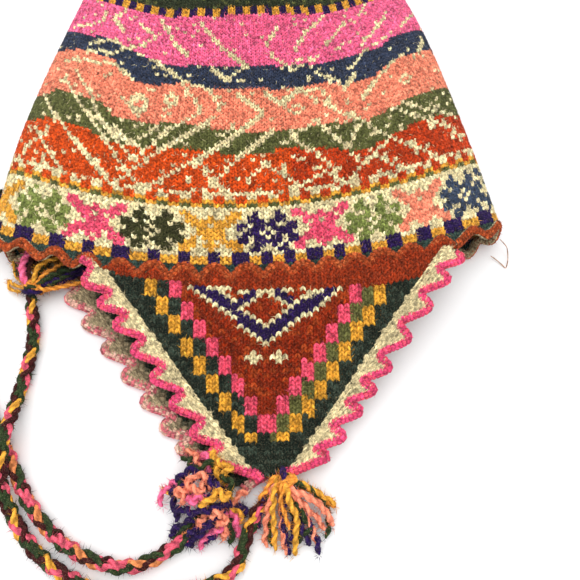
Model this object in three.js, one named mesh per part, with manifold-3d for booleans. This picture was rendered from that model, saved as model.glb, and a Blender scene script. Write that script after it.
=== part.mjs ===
import * as THREE from 'three';
import { mergeVertices } from 'three/addons/utils/BufferGeometryUtils.js';
import Module from 'manifold-3d';

// A knitted chullo hat laid flat on a surface. All sizes are in millimetres.
// +Y runs up the hat to the tip, +X is to the right, +Z is up, the surface is z = 0,
// and the upper layer's rim is lowest near x = 0, at y = 0.

const wall = 2.8; // thickness of the knitting
const gap = 0.3; // clearance between neighbouring pieces

// Crown, one row for each section from the rim to the tip.
// along: distance up the middle, centre: x of the middle, as the crown leans a little to the left,
// halfWidth: middle to folded edge, height: top of the upper layer,
// fold: height of the folded edge, sag: how far a row of knitting rises from the middle to the fold.
const crownSections = [
  { along: 0, centre: -4.8, halfWidth: 103, height: 24, fold: 9.5, sag: 23.6 },
  { along: 40, centre: -6.2, halfWidth: 96.4, height: 30, fold: 11, sag: 33 },
  { along: 88, centre: -5.9, halfWidth: 84.8, height: 35, fold: 12.5, sag: 40 },
  { along: 130, centre: -7.3, halfWidth: 72.2, height: 36, fold: 13, sag: 38 },
  { along: 172, centre: -8.1, halfWidth: 55.8, height: 32, fold: 11.5, sag: 28 },
  { along: 205, centre: -8.4, halfWidth: 33, height: 23, fold: 9, sag: 13 },
  { along: 226, centre: -8.6, halfWidth: 13.5, height: 14, fold: 6, sag: 2.5 },
  { along: 236, centre: -8.6, halfWidth: 0, height: 8, fold: 4, sag: 0 },
];
const crownLength = 236; // rim to tip up the middle
const hollowLength = 220; // rim to the end of the hollow
const crownColumns = 40;
const crownRings = 17;
const hollowRings = 14;
const foldRound = 1.5; // reach of the underside's rounding, in fold heights

// Scalloped welt around the rim
const rimScallops = 40;
const rimWeltReach = 6.2; // mean distance from the crown's edge to the welt's outer edge
const rimWeltWave = 1.8; // wave of that edge to either side
const rimChord = 0.15; // how far the crown's straight facets stand out past its true rim
const stationsPerScallop = 5;

// Ear flaps. topCentre and tipCentre: middle of the flap at its top and at its tip, vertex: where its
// straight sides would meet, slope: half width gained for each millimetre up, raised: lies on the other flap.
const flaps = {
  near: { topCentre: 4.5, tipCentre: 3.8, vertex: -76, slope: 0.755, raised: true },
  far: { topCentre: -6, tipCentre: -8.6, vertex: -79.5, slope: 0.755, raised: false },
};
const flapTop = -8.6; // top edge of a flap below the crown's rim, at the middle
const flapTipRadius = 10;
const flapColumns = 12;
const flapRows = 8;
const nearFlapLow = 4.6; // height of the upper flap's middle layer where it lies on the lower one
const nearFlapReach = 72; // distance from the rim over which the upper flap comes down

// Wavy welt on the slanted sides of a flap
const flapScallops = 8; // on each side
const flapWeltLow = 3.6; // width of the edging between two scallops
const flapWeltHigh = 10; // width of the edging at a scallop
const flapWeltTip = 4.4; // width of the edging around the flap's tip
const tipStations = 6;

// Tie cords, plaited, laid on the surface
const cordDiameter = 4.8;
const cordSides = 10;
const cordSteps = 30;
const cordRest = 2.6; // height of a resting cord's centre line
const cordOver = 7.9; // height of the upper cord where the two cross
const nearCordRoute = [
  { x: -0.2, y: -82.9, z: 4.2 },
  { x: -4.4, y: -91.3, z: cordRest },
  { x: -9.1, y: -101.7, z: cordRest },
  { x: -28.8, y: -108.1, z: cordRest },
  { x: -48, y: -107.6, z: cordRest },
  { x: -69.4, y: -97.5, z: cordRest },
  { x: -78.2, y: -89.5, z: cordRest },
  { x: -83.1, y: -82.9, z: 2.9 },
  { x: -87.2, y: -74.4, z: 5.4 },
  { x: -88.3, y: -64.9, z: cordOver },
  { x: -88.6, y: -56.9, z: cordOver },
  { x: -88.6, y: -48.4, z: 5 },
  { x: -87.8, y: -38.4, z: 2.8 },
  { x: -86.8, y: -28.8, z: cordRest },
  { x: -86.5, y: -18.8, z: cordRest },
  { x: -89.2, y: -4, z: 4 },
];
const farCordRoute = [
  { x: -20.5, y: -85.4, z: 3.4 },
  { x: -24.8, y: -91.2, z: cordRest },
  { x: -42.1, y: -99.3, z: cordRest },
  { x: -61.2, y: -94.2, z: cordRest },
  { x: -76.5, y: -81.2, z: cordRest },
  { x: -89.6, y: -60.5, z: cordRest },
  { x: -100.7, y: -42.4, z: cordRest },
  { x: -109, y: -24.8, z: cordRest },
  { x: -114.2, y: -7, z: cordRest },
  { x: -117.2, y: 10.9, z: cordRest },
  { x: -118.5, y: 25.1, z: 3.6 },
];

// Tassels: a tied head and locks of yarn that leave it.
// turn: heading of the lock in degrees from +X, reach: its length, high: height midway, low: height at the end.
// thick: radius of the tassel's locks at their fullest.
const tassels = {
  flap_tassel_near: {
    thick: 2.7,
    head: { x: 5.7, y: -79, z: 6.2, long: 5.4, wide: 6.2, tall: 5.2 },
    locks: [
      { turn: -10, reach: 19, high: 8, low: 4 },
      { turn: -26, reach: 22, high: 9, low: 3.2 },
      { turn: -42, reach: 23, high: 5, low: 2.8 },
      { turn: -54, reach: 22, high: 9.5, low: 4.4 },
      { turn: -66, reach: 22, high: 5, low: 2.8 },
      { turn: -80, reach: 21, high: 8, low: 3.2 },
      { turn: -100, reach: 19, high: 11.5, low: 8.6 },
    ],
  },
  flap_tassel_far: {
    thick: 3.4,
    head: { x: -15.4, y: -80.4, z: 6, long: 6, wide: 6, tall: 5.6 },
    locks: [
      { turn: 100, reach: 14, high: 12, low: 9.6 },
      { turn: 126, reach: 16, high: 10.5, low: 7 },
      { turn: 152, reach: 16, high: 9, low: 6.2 },
      { turn: 176, reach: 16, high: 9.5, low: 4.2 },
      { turn: 200, reach: 15, high: 12, low: 9.4 },
      { turn: 230, reach: 13, high: 14, low: 11 },
      { turn: 266, reach: 16, high: 7.5, low: 3.4 },
      { turn: 292, reach: 14, high: 9, low: 3.8 },
      { turn: 320, reach: 10, high: 12, low: 7 },
    ],
  },
  cord_tassel_near: {
    thick: 2.1,
    head: { x: -89.5, y: 1.1, z: 4.6, long: 4.6, wide: 4, tall: 4 },
    locks: [
      { turn: 96, reach: 21, high: 7.5, low: 6.6 },
      { turn: 74, reach: 23, high: 6.5, low: 7.4 },
      { turn: 52, reach: 22, high: 8, low: 6 },
      { turn: 30, reach: 20, high: 6.5, low: 5.4 },
      { turn: 8, reach: 20, high: 6, low: 4.4 },
    ],
  },
  cord_tassel_far: {
    thick: 2.1,
    head: { x: -118.8, y: 30, z: 4.2, long: 4.6, wide: 4, tall: 4 },
    locks: [
      { turn: 130, reach: 18, high: 4, low: 2.4 },
      { turn: 114, reach: 22, high: 6.5, low: 3 },
      { turn: 98, reach: 23, high: 4, low: 2.4 },
      { turn: 82, reach: 22, high: 6.5, low: 3 },
      { turn: 68, reach: 18, high: 4, low: 2.4 },
    ],
  },
};
const lockTaper = [0.7, 1, 1, 0.7]; // from the head to the free end, in shares of the fullest radius
const lockSides = 5;

const colours = {
  knit: 0xb5482a,
  rust: 0xa8441e,
  flap: 0x8a3418,
  pink: 0xe85070,
  yarn: 0xd9705a,
  cord: 0x8a4a44,
};

const wasm = await Module();
wasm.setup();

// Smooth curve through one column of a table, with slopes taken between neighbouring rows
function columnAt(table, column, along) {
  const last = table.length - 1;
  let row = 0;
  while (row < last - 1 && along > table[row + 1].along) row += 1;
  const slopeAt = (i) => {
    const before = table[Math.max(i - 1, 0)];
    const after = table[Math.min(i + 1, last)];
    return (after[column] - before[column]) / (after.along - before.along);
  };
  const span = table[row + 1].along - table[row].along;
  const t = (along - table[row].along) / span;
  const rise = t * t * (3 - 2 * t);
  const leave = t * (1 - t) * (1 - t) * span * slopeAt(row);
  const arrive = t * t * (t - 1) * span * slopeAt(row + 1);
  return table[row][column] * (1 - rise) + table[row + 1][column] * rise + leave + arrive;
}

function crownSection(along) {
  const section = { along };
  for (const column of ['centre', 'halfWidth', 'height', 'fold', 'sag']) {
    section[column] = columnAt(crownSections, column, along);
  }
  section.halfWidth = Math.max(section.halfWidth, 0);
  section.sag = Math.max(section.sag, 0);
  return section;
}

// Point on the crown's outer face, or inset from it: an elliptic arch above the fold,
// a flat underside with rounded edges below it
function crownPoint(section, angle, inset) {
  const reach = section.halfWidth - inset;
  const x = reach * Math.cos(angle);
  const rise = Math.sin(angle);
  let z = section.fold + (section.height - section.fold - inset) * rise;
  if (rise < 0) {
    const round = Math.min(foldRound * section.fold, section.halfWidth);
    const flat = section.halfWidth - round;
    const into = Math.min(Math.max((Math.abs(x) - flat) / (round - inset), 0), 1);
    z = inset + (section.fold - inset) * (1 - Math.sqrt(1 - into * into));
  }
  const y = section.along + section.sag * Math.cos(angle) ** 2;
  return new THREE.Vector3(section.centre + x, y, z);
}

// Closed skin over a run of rings with equal counts. Ends are closed by a point, or by a strip across
// the end ring, and a looped run joins its last ring to its first.
function skin(rings, { startPoint, endPoint, looped = false } = {}) {
  const count = rings[0].length;
  const positions = rings.flat().flatMap((p) => [p.x, p.y, p.z]);
  const triangles = [];
  const pairs = looped ? rings.length : rings.length - 1;
  for (let r = 0; r < pairs; r += 1) {
    const here = r * count;
    const next = ((r + 1) % rings.length) * count;
    for (let i = 0; i < count; i += 1) {
      const j = (i + 1) % count;
      triangles.push(here + i, here + j, next + j, here + i, next + j, next + i);
    }
  }
  const closeEnd = (first, point, turned) => {
    const add = (a, b, c) => triangles.push(...(turned ? [a, c, b] : [a, b, c]));
    if (point) {
      const tip = positions.length / 3;
      positions.push(point.x, point.y, point.z);
      for (let i = 0; i < count; i += 1) add(first + i, tip, first + ((i + 1) % count));
      return;
    }
    for (let i = 0; i < count / 2 - 1; i += 1) {
      const [a, b] = [first + i, first + i + 1];
      const [c, d] = [first + count - 2 - i, first + count - 1 - i];
      add(a, d, c);
      add(a, c, b);
    }
  };
  if (!looped) {
    closeEnd(0, startPoint, false);
    closeEnd((rings.length - 1) * count, endPoint, true);
  }
  return outward(positions, triangles);
}

// Geometry with its faces turned outward, by the sign of the volume
function outward(positions, triangles) {
  let volume = 0;
  const at = (i) => new THREE.Vector3(...positions.slice(3 * i, 3 * i + 3));
  for (let t = 0; t < triangles.length; t += 3) {
    const [a, b, c] = [at(triangles[t]), at(triangles[t + 1]), at(triangles[t + 2])];
    volume += a.dot(b.cross(c));
  }
  const faces = [...triangles];
  if (volume < 0) {
    for (let t = 0; t < faces.length; t += 3) [faces[t + 1], faces[t + 2]] = [faces[t + 2], faces[t + 1]];
  }
  const geometry = new THREE.BufferGeometry();
  geometry.setAttribute('position', new THREE.Float32BufferAttribute(positions, 3));
  geometry.setIndex(faces);
  geometry.computeVertexNormals();
  return geometry;
}

function toSolid(geometry) {
  const bare = geometry.clone();
  bare.deleteAttribute('normal');
  bare.deleteAttribute('uv');
  const merged = mergeVertices(bare, 1e-4);
  return new wasm.Manifold(new wasm.Mesh({
    numProp: 3,
    vertProperties: new Float32Array(merged.getAttribute('position').array),
    triVerts: new Uint32Array(merged.getIndex().array),
  }));
}

function toGeometry(solid) {
  const mesh = solid.getMesh();
  const geometry = new THREE.BufferGeometry();
  geometry.setAttribute('position', new THREE.Float32BufferAttribute(mesh.vertProperties, 3));
  geometry.setIndex(new THREE.Uint32BufferAttribute(mesh.triVerts, 1));
  geometry.computeVertexNormals();
  return geometry;
}

function crownGeometry() {
  const ringAt = (along, inset) => Array.from({ length: crownColumns }, (_, i) => (
    crownPoint(crownSection(along), (2 * Math.PI * i) / crownColumns, inset)));
  const spread = (k, n, length) => length * (1 - (1 - k / n) ** 1.3);
  const outer = [];
  for (let k = crownRings - 1; k >= 0; k -= 1) outer.push(ringAt(spread(k, crownRings, crownLength), 0));
  const inner = [];
  for (let k = 0; k < hollowRings; k += 1) inner.push(ringAt(spread(k, hollowRings, hollowLength), wall));
  const tip = crownSection(crownLength);
  const hollowEnd = crownSection(hollowLength);
  return skin([...outer, ...inner], {
    startPoint: new THREE.Vector3(tip.centre, crownLength, tip.height / 2),
    endPoint: new THREE.Vector3(hollowEnd.centre, hollowLength, (hollowEnd.height + wall) / 3),
  });
}

// Section of a flat welt that runs from one edge to the other, with a rounded outer edge
function weltRing(foot, across, up, inner, outer) {
  const half = wall / 2;
  const corners = [
    [inner, -half], [outer - 0.8 * half, -half], [outer, -0.4 * half],
    [outer, 0.4 * half], [outer - 0.8 * half, half], [inner, half],
  ];
  return corners.map(([reach, lift]) => foot.clone().addScaledVector(across, reach).addScaledVector(up, lift));
}

function rimWeltGeometry() {
  const rim = crownSection(0);
  const above = crownSection(4);
  const middle = (section, angle) => crownPoint(section, angle, wall / 2);
  const fine = 720;
  const angles = Array.from({ length: fine + 1 }, (_, i) => (2 * Math.PI * i) / fine);
  const lengths = [0];
  for (let i = 1; i <= fine; i += 1) {
    lengths.push(lengths[i - 1] + middle(rim, angles[i]).distanceTo(middle(rim, angles[i - 1])));
  }
  const stations = rimScallops * stationsPerScallop;
  const rings = [];
  for (let s = 0; s < stations; s += 1) {
    const wanted = (lengths[fine] * s) / stations;
    const i = lengths.findIndex((length) => length > wanted);
    const part = (wanted - lengths[i - 1]) / (lengths[i] - lengths[i - 1]);
    const angle = angles[i - 1] + part * (angles[i] - angles[i - 1]);
    const foot = middle(rim, angle);
    const along = middle(rim, angle + 0.01).sub(middle(rim, angle - 0.01)).normalize();
    const away = foot.clone().sub(middle(above, angle));
    if (Math.sin(angle) < -0.3) away.z = 0;
    away.addScaledVector(along, -away.dot(along)).normalize();
    const up = new THREE.Vector3().crossVectors(along, away).normalize();
    const wave = Math.cos((2 * Math.PI * s) / stationsPerScallop);
    rings.push(weltRing(foot, away, up, gap + rimChord, rimWeltReach + rimWeltWave * wave));
  }
  return skin(rings, { looped: true });
}

// Line of the rim in plan
function rimLine(x) {
  const rim = crownSections[0];
  return rim.sag * ((x - rim.centre) / rim.halfWidth) ** 2;
}

// Height of a flap's middle layer: the upper flap comes down from the rim in one easy wave
function flapHeight(flap, x, y) {
  if (!flap.raised) return wall / 2;
  const rim = crownSections[0];
  const arch = Math.sqrt(Math.max(1 - ((x - rim.centre) / rim.halfWidth) ** 2, 0));
  const top = rim.fold + (rim.height - rim.fold - wall / 2) * arch;
  const down = Math.min(Math.max((rimLine(x) - y) / nearFlapReach, 0), 1);
  return nearFlapLow + (top - nearFlapLow) * (0.5 + 0.5 * Math.cos(Math.PI * down));
}

function flapCentre(flap, y) {
  return flap.tipCentre + ((flap.topCentre - flap.tipCentre) * (y - flap.vertex)) / -flap.vertex;
}

// Half width of a flap: straight sides with a round tip between them
function flapTip(flap) {
  const lean = Math.atan(flap.slope);
  const centre = flap.vertex + flapTipRadius / Math.sin(lean);
  return { lean, centre, low: centre - flapTipRadius, touch: centre - flapTipRadius * Math.sin(lean) };
}

function flapHalfWidth(flap, y) {
  const tip = flapTip(flap);
  if (y >= tip.touch) return flap.slope * (y - flap.vertex);
  return Math.sqrt(Math.max(flapTipRadius ** 2 - (y - tip.centre) ** 2, 0));
}

function flapGeometry(flap) {
  const low = flapTip(flap).low + 0.25;
  const rings = [];
  for (let r = 0; r <= flapRows; r += 1) {
    const q = (r / flapRows) ** 0.85;
    const base = flapTop + (low - flapTop) * q;
    const top = [];
    const bottom = [];
    for (let c = 0; c <= flapColumns; c += 1) {
      const p = (2 * c) / flapColumns - 1;
      let y = base;
      let x = 0;
      for (let pass = 0; pass < 8; pass += 1) {
        x = flapCentre(flap, y) + p * flapHalfWidth(flap, y);
        y = base + rimLine(x) * (1 - q) ** 2;
      }
      const z = flapHeight(flap, x, y);
      top.push(new THREE.Vector3(x, y, z + wall / 2));
      bottom.unshift(new THREE.Vector3(x, y, z - wall / 2));
    }
    rings.push([...top, ...bottom]);
  }
  return skin(rings);
}

// Stations of the edging on one side of a flap, from its top to the middle of its tip
function weltStations(flap, side) {
  const tip = flapTip(flap);
  const stations = [];
  const topEdge = flapTop + rimLine(flapCentre(flap, 0) + side * flapHalfWidth(flap, 0)) - 1.2;
  const steps = flapScallops * 6;
  for (let s = 0; s <= steps; s += 1) {
    const y = topEdge + (tip.touch - topEdge) * (s / steps);
    const wave = 0.5 - 0.5 * Math.cos((2 * Math.PI * s) / 6);
    const swing = Math.min(s / 6, 1);
    stations.push({
      y,
      half: flapHalfWidth(flap, y),
      turn: -tip.lean * swing + 0.16 * (1 - swing),
      width: flapWeltLow + (flapWeltHigh - flapWeltLow) * wave,
    });
  }
  for (let s = 1; s <= tipStations / 2; s += 1) {
    const turn = -tip.lean - ((Math.PI / 2 - tip.lean) * s) / (tipStations / 2);
    stations.push({
      y: tip.centre + flapTipRadius * Math.sin(turn),
      half: flapTipRadius * Math.cos(turn),
      turn,
      width: flapWeltTip,
    });
  }
  return stations;
}

// Edging down one side of a flap, around its tip and up the other side
function flapWeltGeometry(flap) {
  const sideRing = ({ y, half, turn, width }, side) => {
    const foot = new THREE.Vector3(flapCentre(flap, y) + side * half, y, 0);
    const across = new THREE.Vector3(side * Math.cos(turn), Math.sin(turn), 0);
    const ring = weltRing(foot, across, new THREE.Vector3(0, 0, 1), gap, width);
    for (const point of ring) point.z += flapHeight(flap, point.x, point.y);
    return ring;
  };
  const right = weltStations(flap, 1).map((station) => sideRing(station, 1));
  const left = weltStations(flap, -1).slice(0, -1).map((station) => sideRing(station, -1)).reverse();
  return skin([...right, ...left]);
}

function cordGeometry(route) {
  const path = new THREE.CatmullRomCurve3(route.map((p) => new THREE.Vector3(p.x, p.y, p.z)), false, 'centripetal');
  const section = new THREE.Shape();
  for (let i = 0; i < cordSides; i += 1) {
    const turn = (2 * Math.PI * i) / cordSides;
    const [x, y] = [(cordDiameter / 2) * Math.cos(turn), (cordDiameter / 2) * Math.sin(turn)];
    if (i === 0) section.moveTo(x, y);
    else section.lineTo(x, y);
  }
  section.closePath();
  const tube = new THREE.ExtrudeGeometry(section, { steps: cordSteps, extrudePath: path, bevelEnabled: false });
  tube.deleteAttribute('normal');
  tube.deleteAttribute('uv');
  const merged = mergeVertices(tube, 1e-3);
  merged.computeVertexNormals();
  return merged;
}

function lockGeometry(head, lock, thick) {
  const heading = THREE.MathUtils.degToRad(lock.turn);
  const onWay = (share, z) => new THREE.Vector3(
    head.x + share * lock.reach * Math.cos(heading), head.y + share * lock.reach * Math.sin(heading), z);
  const path = new THREE.QuadraticBezierCurve3(onWay(0.1, head.z), onWay(0.55, lock.high), onWay(1, lock.low));
  const rings = lockTaper.map((share, k) => {
    const radius = share * thick;
    const at = path.getPointAt(k / (lockTaper.length - 1));
    const forward = path.getTangentAt(k / (lockTaper.length - 1));
    const side = new THREE.Vector3(-Math.sin(heading), Math.cos(heading), 0);
    const up = new THREE.Vector3().crossVectors(forward, side);
    return Array.from({ length: lockSides }, (_, i) => {
      const turn = (2 * Math.PI * (i + 0.5)) / lockSides;
      const point = at.clone().addScaledVector(side, radius * Math.cos(turn));
      return point.addScaledVector(up, radius * Math.sin(turn));
    });
  });
  const endAt = path.getPointAt(1).addScaledVector(path.getTangentAt(1), 0.8);
  return skin(rings, { startPoint: path.getPointAt(0), endPoint: endAt });
}

function tasselGeometry({ thick, head, locks }) {
  const knot = new THREE.SphereGeometry(1, 10, 7);
  knot.scale(head.wide, head.long, head.tall);
  knot.translate(head.x, head.y, head.z);
  let solid = toSolid(knot);
  for (const lock of locks) solid = solid.add(toSolid(lockGeometry(head, lock, thick)));
  return toGeometry(solid);
}

const hat = new THREE.Group();

function place(name, geometry, color) {
  const mesh = new THREE.Mesh(geometry, new THREE.MeshStandardMaterial({ color, roughness: 0.95, metalness: 0 }));
  mesh.name = name;
  hat.add(mesh);
}

place('crown', crownGeometry(), colours.knit);
place('rim_edging', rimWeltGeometry(), colours.rust);
for (const side of ['near', 'far']) {
  place(`ear_flap_${side}`, flapGeometry(flaps[side]), colours.flap);
  place(`flap_edging_${side}`, flapWeltGeometry(flaps[side]), colours.pink);
  place(`flap_tassel_${side}`, tasselGeometry(tassels[`flap_tassel_${side}`]), colours.yarn);
}

// The hat's own middle is put over the origin before the free cords are added
const box = new THREE.Box3().setFromObject(hat);
hat.position.set(-(box.min.x + box.max.x) / 2, -(box.min.y + box.max.y) / 2, -box.min.z);

place('tie_cord_near', cordGeometry(nearCordRoute), colours.cord);
place('tie_cord_far', cordGeometry(farCordRoute), colours.cord);
place('cord_tassel_near', tasselGeometry(tassels.cord_tassel_near), colours.yarn);
place('cord_tassel_far', tasselGeometry(tassels.cord_tassel_far), colours.yarn);

export default hat;
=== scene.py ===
# Knitted hat with ear flaps, laid flat with its plaited ties on the table.
import bpy
import numpy as np
from mathutils import Matrix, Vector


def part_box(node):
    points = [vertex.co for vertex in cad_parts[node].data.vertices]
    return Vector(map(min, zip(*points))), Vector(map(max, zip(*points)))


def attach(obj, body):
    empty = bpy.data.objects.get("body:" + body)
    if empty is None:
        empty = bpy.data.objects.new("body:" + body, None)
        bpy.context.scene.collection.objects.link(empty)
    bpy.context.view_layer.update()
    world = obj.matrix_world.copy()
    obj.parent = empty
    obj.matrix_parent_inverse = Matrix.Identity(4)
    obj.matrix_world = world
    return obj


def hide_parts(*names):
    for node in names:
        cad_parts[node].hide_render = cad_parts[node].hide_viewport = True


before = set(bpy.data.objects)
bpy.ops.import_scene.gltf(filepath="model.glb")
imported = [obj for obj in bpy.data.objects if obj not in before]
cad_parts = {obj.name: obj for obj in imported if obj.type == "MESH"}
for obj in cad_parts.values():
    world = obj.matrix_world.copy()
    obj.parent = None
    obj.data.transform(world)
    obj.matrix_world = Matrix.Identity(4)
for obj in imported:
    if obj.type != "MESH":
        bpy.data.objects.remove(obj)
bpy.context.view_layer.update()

mm = 0.001
dice = np.random.default_rng(11)

# Everything is drawn in hat millimetres: the rim is lowest near x = 0 at y = 0, and z = 0 is the table.
# Crown table from the rim to the tip: along, centre, half width, height, fold height and sag of a section
crownSections = np.array([
    [0, -4.8, 103, 24, 9.5, 23.6], [40, -6.2, 96.4, 30, 11, 33], [88, -5.9, 84.8, 35, 12.5, 40],
    [130, -7.3, 72.2, 36, 13, 38], [172, -8.1, 55.8, 32, 11.5, 28], [205, -8.4, 33, 23, 9, 13],
    [226, -8.6, 13.5, 14, 6, 2.5], [236, -8.6, 0, 8, 4, 0]])
rimCentre, rimHalf, rimHeight, rimFold, rimSag = crownSections[0, 1:]
crownLength = crownSections[-1, 0]
crownLow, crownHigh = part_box("crown")
hatShift = np.array([
    (crownLow[0] + crownHigh[0]) / 2 - rimCentre * mm, crownHigh[1] - crownLength * mm, 0.0])
upward = np.array([0.0, 0.0, 1.0])
tableGap = 0.05  # yarn that lies on the table stays this far above it


def toFrame(points):  # hat millimetres to frame metres
    return np.asarray(points, float) * mm + hatShift


# Camera

photoView = {"place": (9.82, -98.79, 212.0), "tilt": 25.0, "turn": 1.5, "lens": 36.0, "sensor": 36.0,
             "near": 0.01}


def addCamera(setup):
    # looks down, tilted away from the plumb line by tilt and turned about it by turn
    tilt, turn = np.radians(setup["tilt"]), np.radians(setup["turn"])
    right = np.array([np.cos(turn), -np.sin(turn), 0.0])
    look = np.array([np.sin(tilt) * np.sin(turn), np.sin(tilt) * np.cos(turn), -np.cos(tilt)])
    stand = np.eye(4)
    stand[:3, 0] = right
    stand[:3, 1] = np.cross(right, look)
    stand[:3, 2] = -look
    stand[:3, 3] = toFrame(setup["place"])
    lens = bpy.data.cameras.new("photoCamera")
    lens.lens = setup["lens"]
    lens.sensor_width = setup["sensor"]
    lens.clip_start = setup["near"]
    camera = bpy.data.objects.new("photoCamera", lens)
    camera.matrix_world = Matrix(stand.tolist())
    bpy.context.collection.objects.link(camera)
    bpy.context.scene.camera = camera


addCamera(photoView)
print("camera placed")

# Yarn colours, as sRGB

yarns = {
    "cream": "ECDBAA", "mustard": "E6A43A", "purple": "24104A", "teal": "2A403A", "rust": "D24C12",
    "deepRust": "BC3A10", "olive": "5C6034", "coral": "FC8E70", "navy": "2E3950", "pink": "FC6A95",
    "rose": "EC5272", "darkGreen": "2A3422", "starOlive": "7A8644", "starDark": "37391E",
    "starNavy": "36445A", "weltRust": "A4441E", "weltLight": "B8582C", "bandRust": "943010",
    "flapRust": "8A2608", "flapPink": "F0526E", "weltPink": "EA4A78", "threadBrown": "B08A74",
    "fleckGreen": "323E34", "fleckRust": "A03C14", "flapCream": "D6C69A", "flapGreen": "1C2821",
    "flapOlive": "646436", "flapMustard": "E0A034", "beige": "A89878", "dullPink": "EAB6A4",
    "dullRed": "D8707A", "orange": "EC963A", "maroon": "3A1014", "leafGreen": "28391F",
    "plaitPink": "D8566C", "plaitOrange": "DE8650"}


def yarn(name):  # sRGB name to linear colour
    code = yarns[name]
    share = np.array([int(code[i:i + 2], 16) for i in (0, 2, 4)]) / 255
    return np.where(share <= 0.04045, share / 12.92, ((share + 0.055) / 1.055) ** 2.4)


yarnNames = list(yarns)
yarnTable = np.array([yarn(name) for name in yarnNames])


def yarnNumber(name):  # row of the yarn table
    return yarnNames.index(name)


# Finishes


class Shade:
    # one node's output; arithmetic on it adds Math nodes
    def __init__(self, finish, socket):
        self.finish = finish
        self.socket = socket

    def join(self, operation, first, second):
        return self.finish.node("ShaderNodeMath", {"operation": operation}, {0: first, 1: second})

    def __add__(self, other):
        return self.join("ADD", self, other)

    def __radd__(self, other):
        return self.join("ADD", other, self)

    def __sub__(self, other):
        return self.join("SUBTRACT", self, other)

    def __rsub__(self, other):
        return self.join("SUBTRACT", other, self)

    def __mul__(self, other):
        return self.join("MULTIPLY", self, other)

    def __rmul__(self, other):
        return self.join("MULTIPLY", other, self)

    def above(self, level):  # how far it goes over the level, never negative
        return self.join("MAXIMUM", self - level, 0.0)

    def sine(self):
        return self.finish.node("ShaderNodeMath", {"operation": "SINE"}, {0: self})


class Finish:
    # a material and its Principled shader
    def __init__(self, name):
        self.material = bpy.data.materials.new(name)
        self.material.use_nodes = True
        self.tree = self.material.node_tree
        self.shader = self.tree.nodes["Principled BSDF"]

    def feed(self, socket, value):
        if isinstance(value, Shade):
            self.tree.links.new(value.socket, socket)
        else:
            socket.default_value = value

    def node(self, kind, settings, sockets, output=0):
        made = self.tree.nodes.new(kind)
        for key, value in settings.items():
            setattr(made, key, value)
        for key, value in sockets.items():
            self.feed(made.inputs[key], value)
        return Shade(self, made.outputs[output])

    def mixColour(self, blend, share, first, second):
        return self.node("ShaderNodeMix", {"data_type": "RGBA", "blend_type": blend},
                         {0: share, 6: first, 7: second}, output=2)

    def objectPlace(self):  # the mesh's own coordinates
        return self.node("ShaderNodeTexCoord", {}, {}, output=3)

    def noise(self, place, scale, detail):
        return self.node("ShaderNodeTexNoise", {}, {"Vector": place, "Scale": scale, "Detail": detail})

    def put(self, **sockets):
        for key, value in sockets.items():
            self.feed(self.shader.inputs[key.replace("_", " ")], value)


woolLook = {
    "roughness": 0.92, "roughSpread": 0.2, "specular": 0.12, "sheen": 0.04, "sheenRoughness": 0.5,
    "plyTurns": 2.4, "plyBump": 0.5, "hairBump": 0.8, "bumpStrength": 0.35, "bumpDistance": 0.0004,
    "hairScale": 2600.0, "flockScale": 760.0, "flockShare": 1.3, "cloudScale": 110.0, "cloud": 0.45,
    "paleLevel": 0.53, "paleHair": 0.9, "hairColour": (0.62, 0.47, 0.28, 1.0),
}


def woolFinish(name, look, plies, heather):
    # dyed yarn: its colour comes with the mesh, broken up by flecks of fibre, with the ply twist as bump
    finish = Finish(name)
    place = finish.objectPlace()
    dye = finish.node("ShaderNodeAttribute", {"attribute_name": "yarnColour"}, {})
    strand = finish.node("ShaderNodeUVMap", {"uv_map": "strand"}, {})
    across = finish.node("ShaderNodeSeparateXYZ", {}, {0: strand}, output=0)
    along = finish.node("ShaderNodeSeparateXYZ", {}, {0: strand}, output=1)
    hair = finish.noise(place, look["hairScale"], 2.0)
    flock = finish.noise(place, look["flockScale"], 2.0)
    cloud = finish.noise(place, look["cloudScale"], 1.0)
    fleck = (hair - 0.5) * heather + (flock - 0.5) * (heather * look["flockShare"])
    fleck = fleck + (cloud - 0.5) * look["cloud"] + 1.0
    tone = finish.node("ShaderNodeCombineColor", {}, {0: fleck, 1: fleck, 2: fleck})
    dyed = finish.mixColour("MULTIPLY", 1.0, dye, tone)
    pale = hair.above(look["paleLevel"]) * look["paleHair"]
    dyed = finish.mixColour("MIX", pale, dyed, look["hairColour"])
    ply = ((across * plies + along * look["plyTurns"]) * (2 * np.pi)).sine()
    bump = finish.node("ShaderNodeBump", {}, {
        "Strength": look["bumpStrength"], "Distance": look["bumpDistance"],
        "Height": ply * look["plyBump"] + hair * look["hairBump"]})
    roughness = look["roughness"] + (flock - 0.5) * look["roughSpread"]
    finish.put(Base_Color=dyed, Roughness=roughness, Normal=bump)
    finish.put(Sheen_Weight=look["sheen"], Sheen_Roughness=look["sheenRoughness"])
    finish.put(Specular_IOR_Level=look["specular"])
    return finish.material


knitWool = woolFinish("knitWool", woolLook, plies=1.0, heather=1.7)
groundWool = woolFinish("groundWool", woolLook, plies=0.0, heather=1.3)
rustWool = woolFinish("rustWool", woolLook, plies=1.0, heather=1.8)
pinkWool = woolFinish("pinkWool", woolLook, plies=1.0, heather=1.3)
tasselWool = woolFinish("tasselWool", woolLook, plies=2.0, heather=1.1)
plaitWool = woolFinish("plaitWool", woolLook, plies=2.0, heather=1.2)
print("wool finishes made")

# Mesh parts: points with a colour each, quads and triangles with a corner map of their own patch

bakeMargin = 0.06  # free border of a patch in the bake map, as a share of its cell
tipShare = 0.02  # share of a patch's map that a closing fan takes


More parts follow.
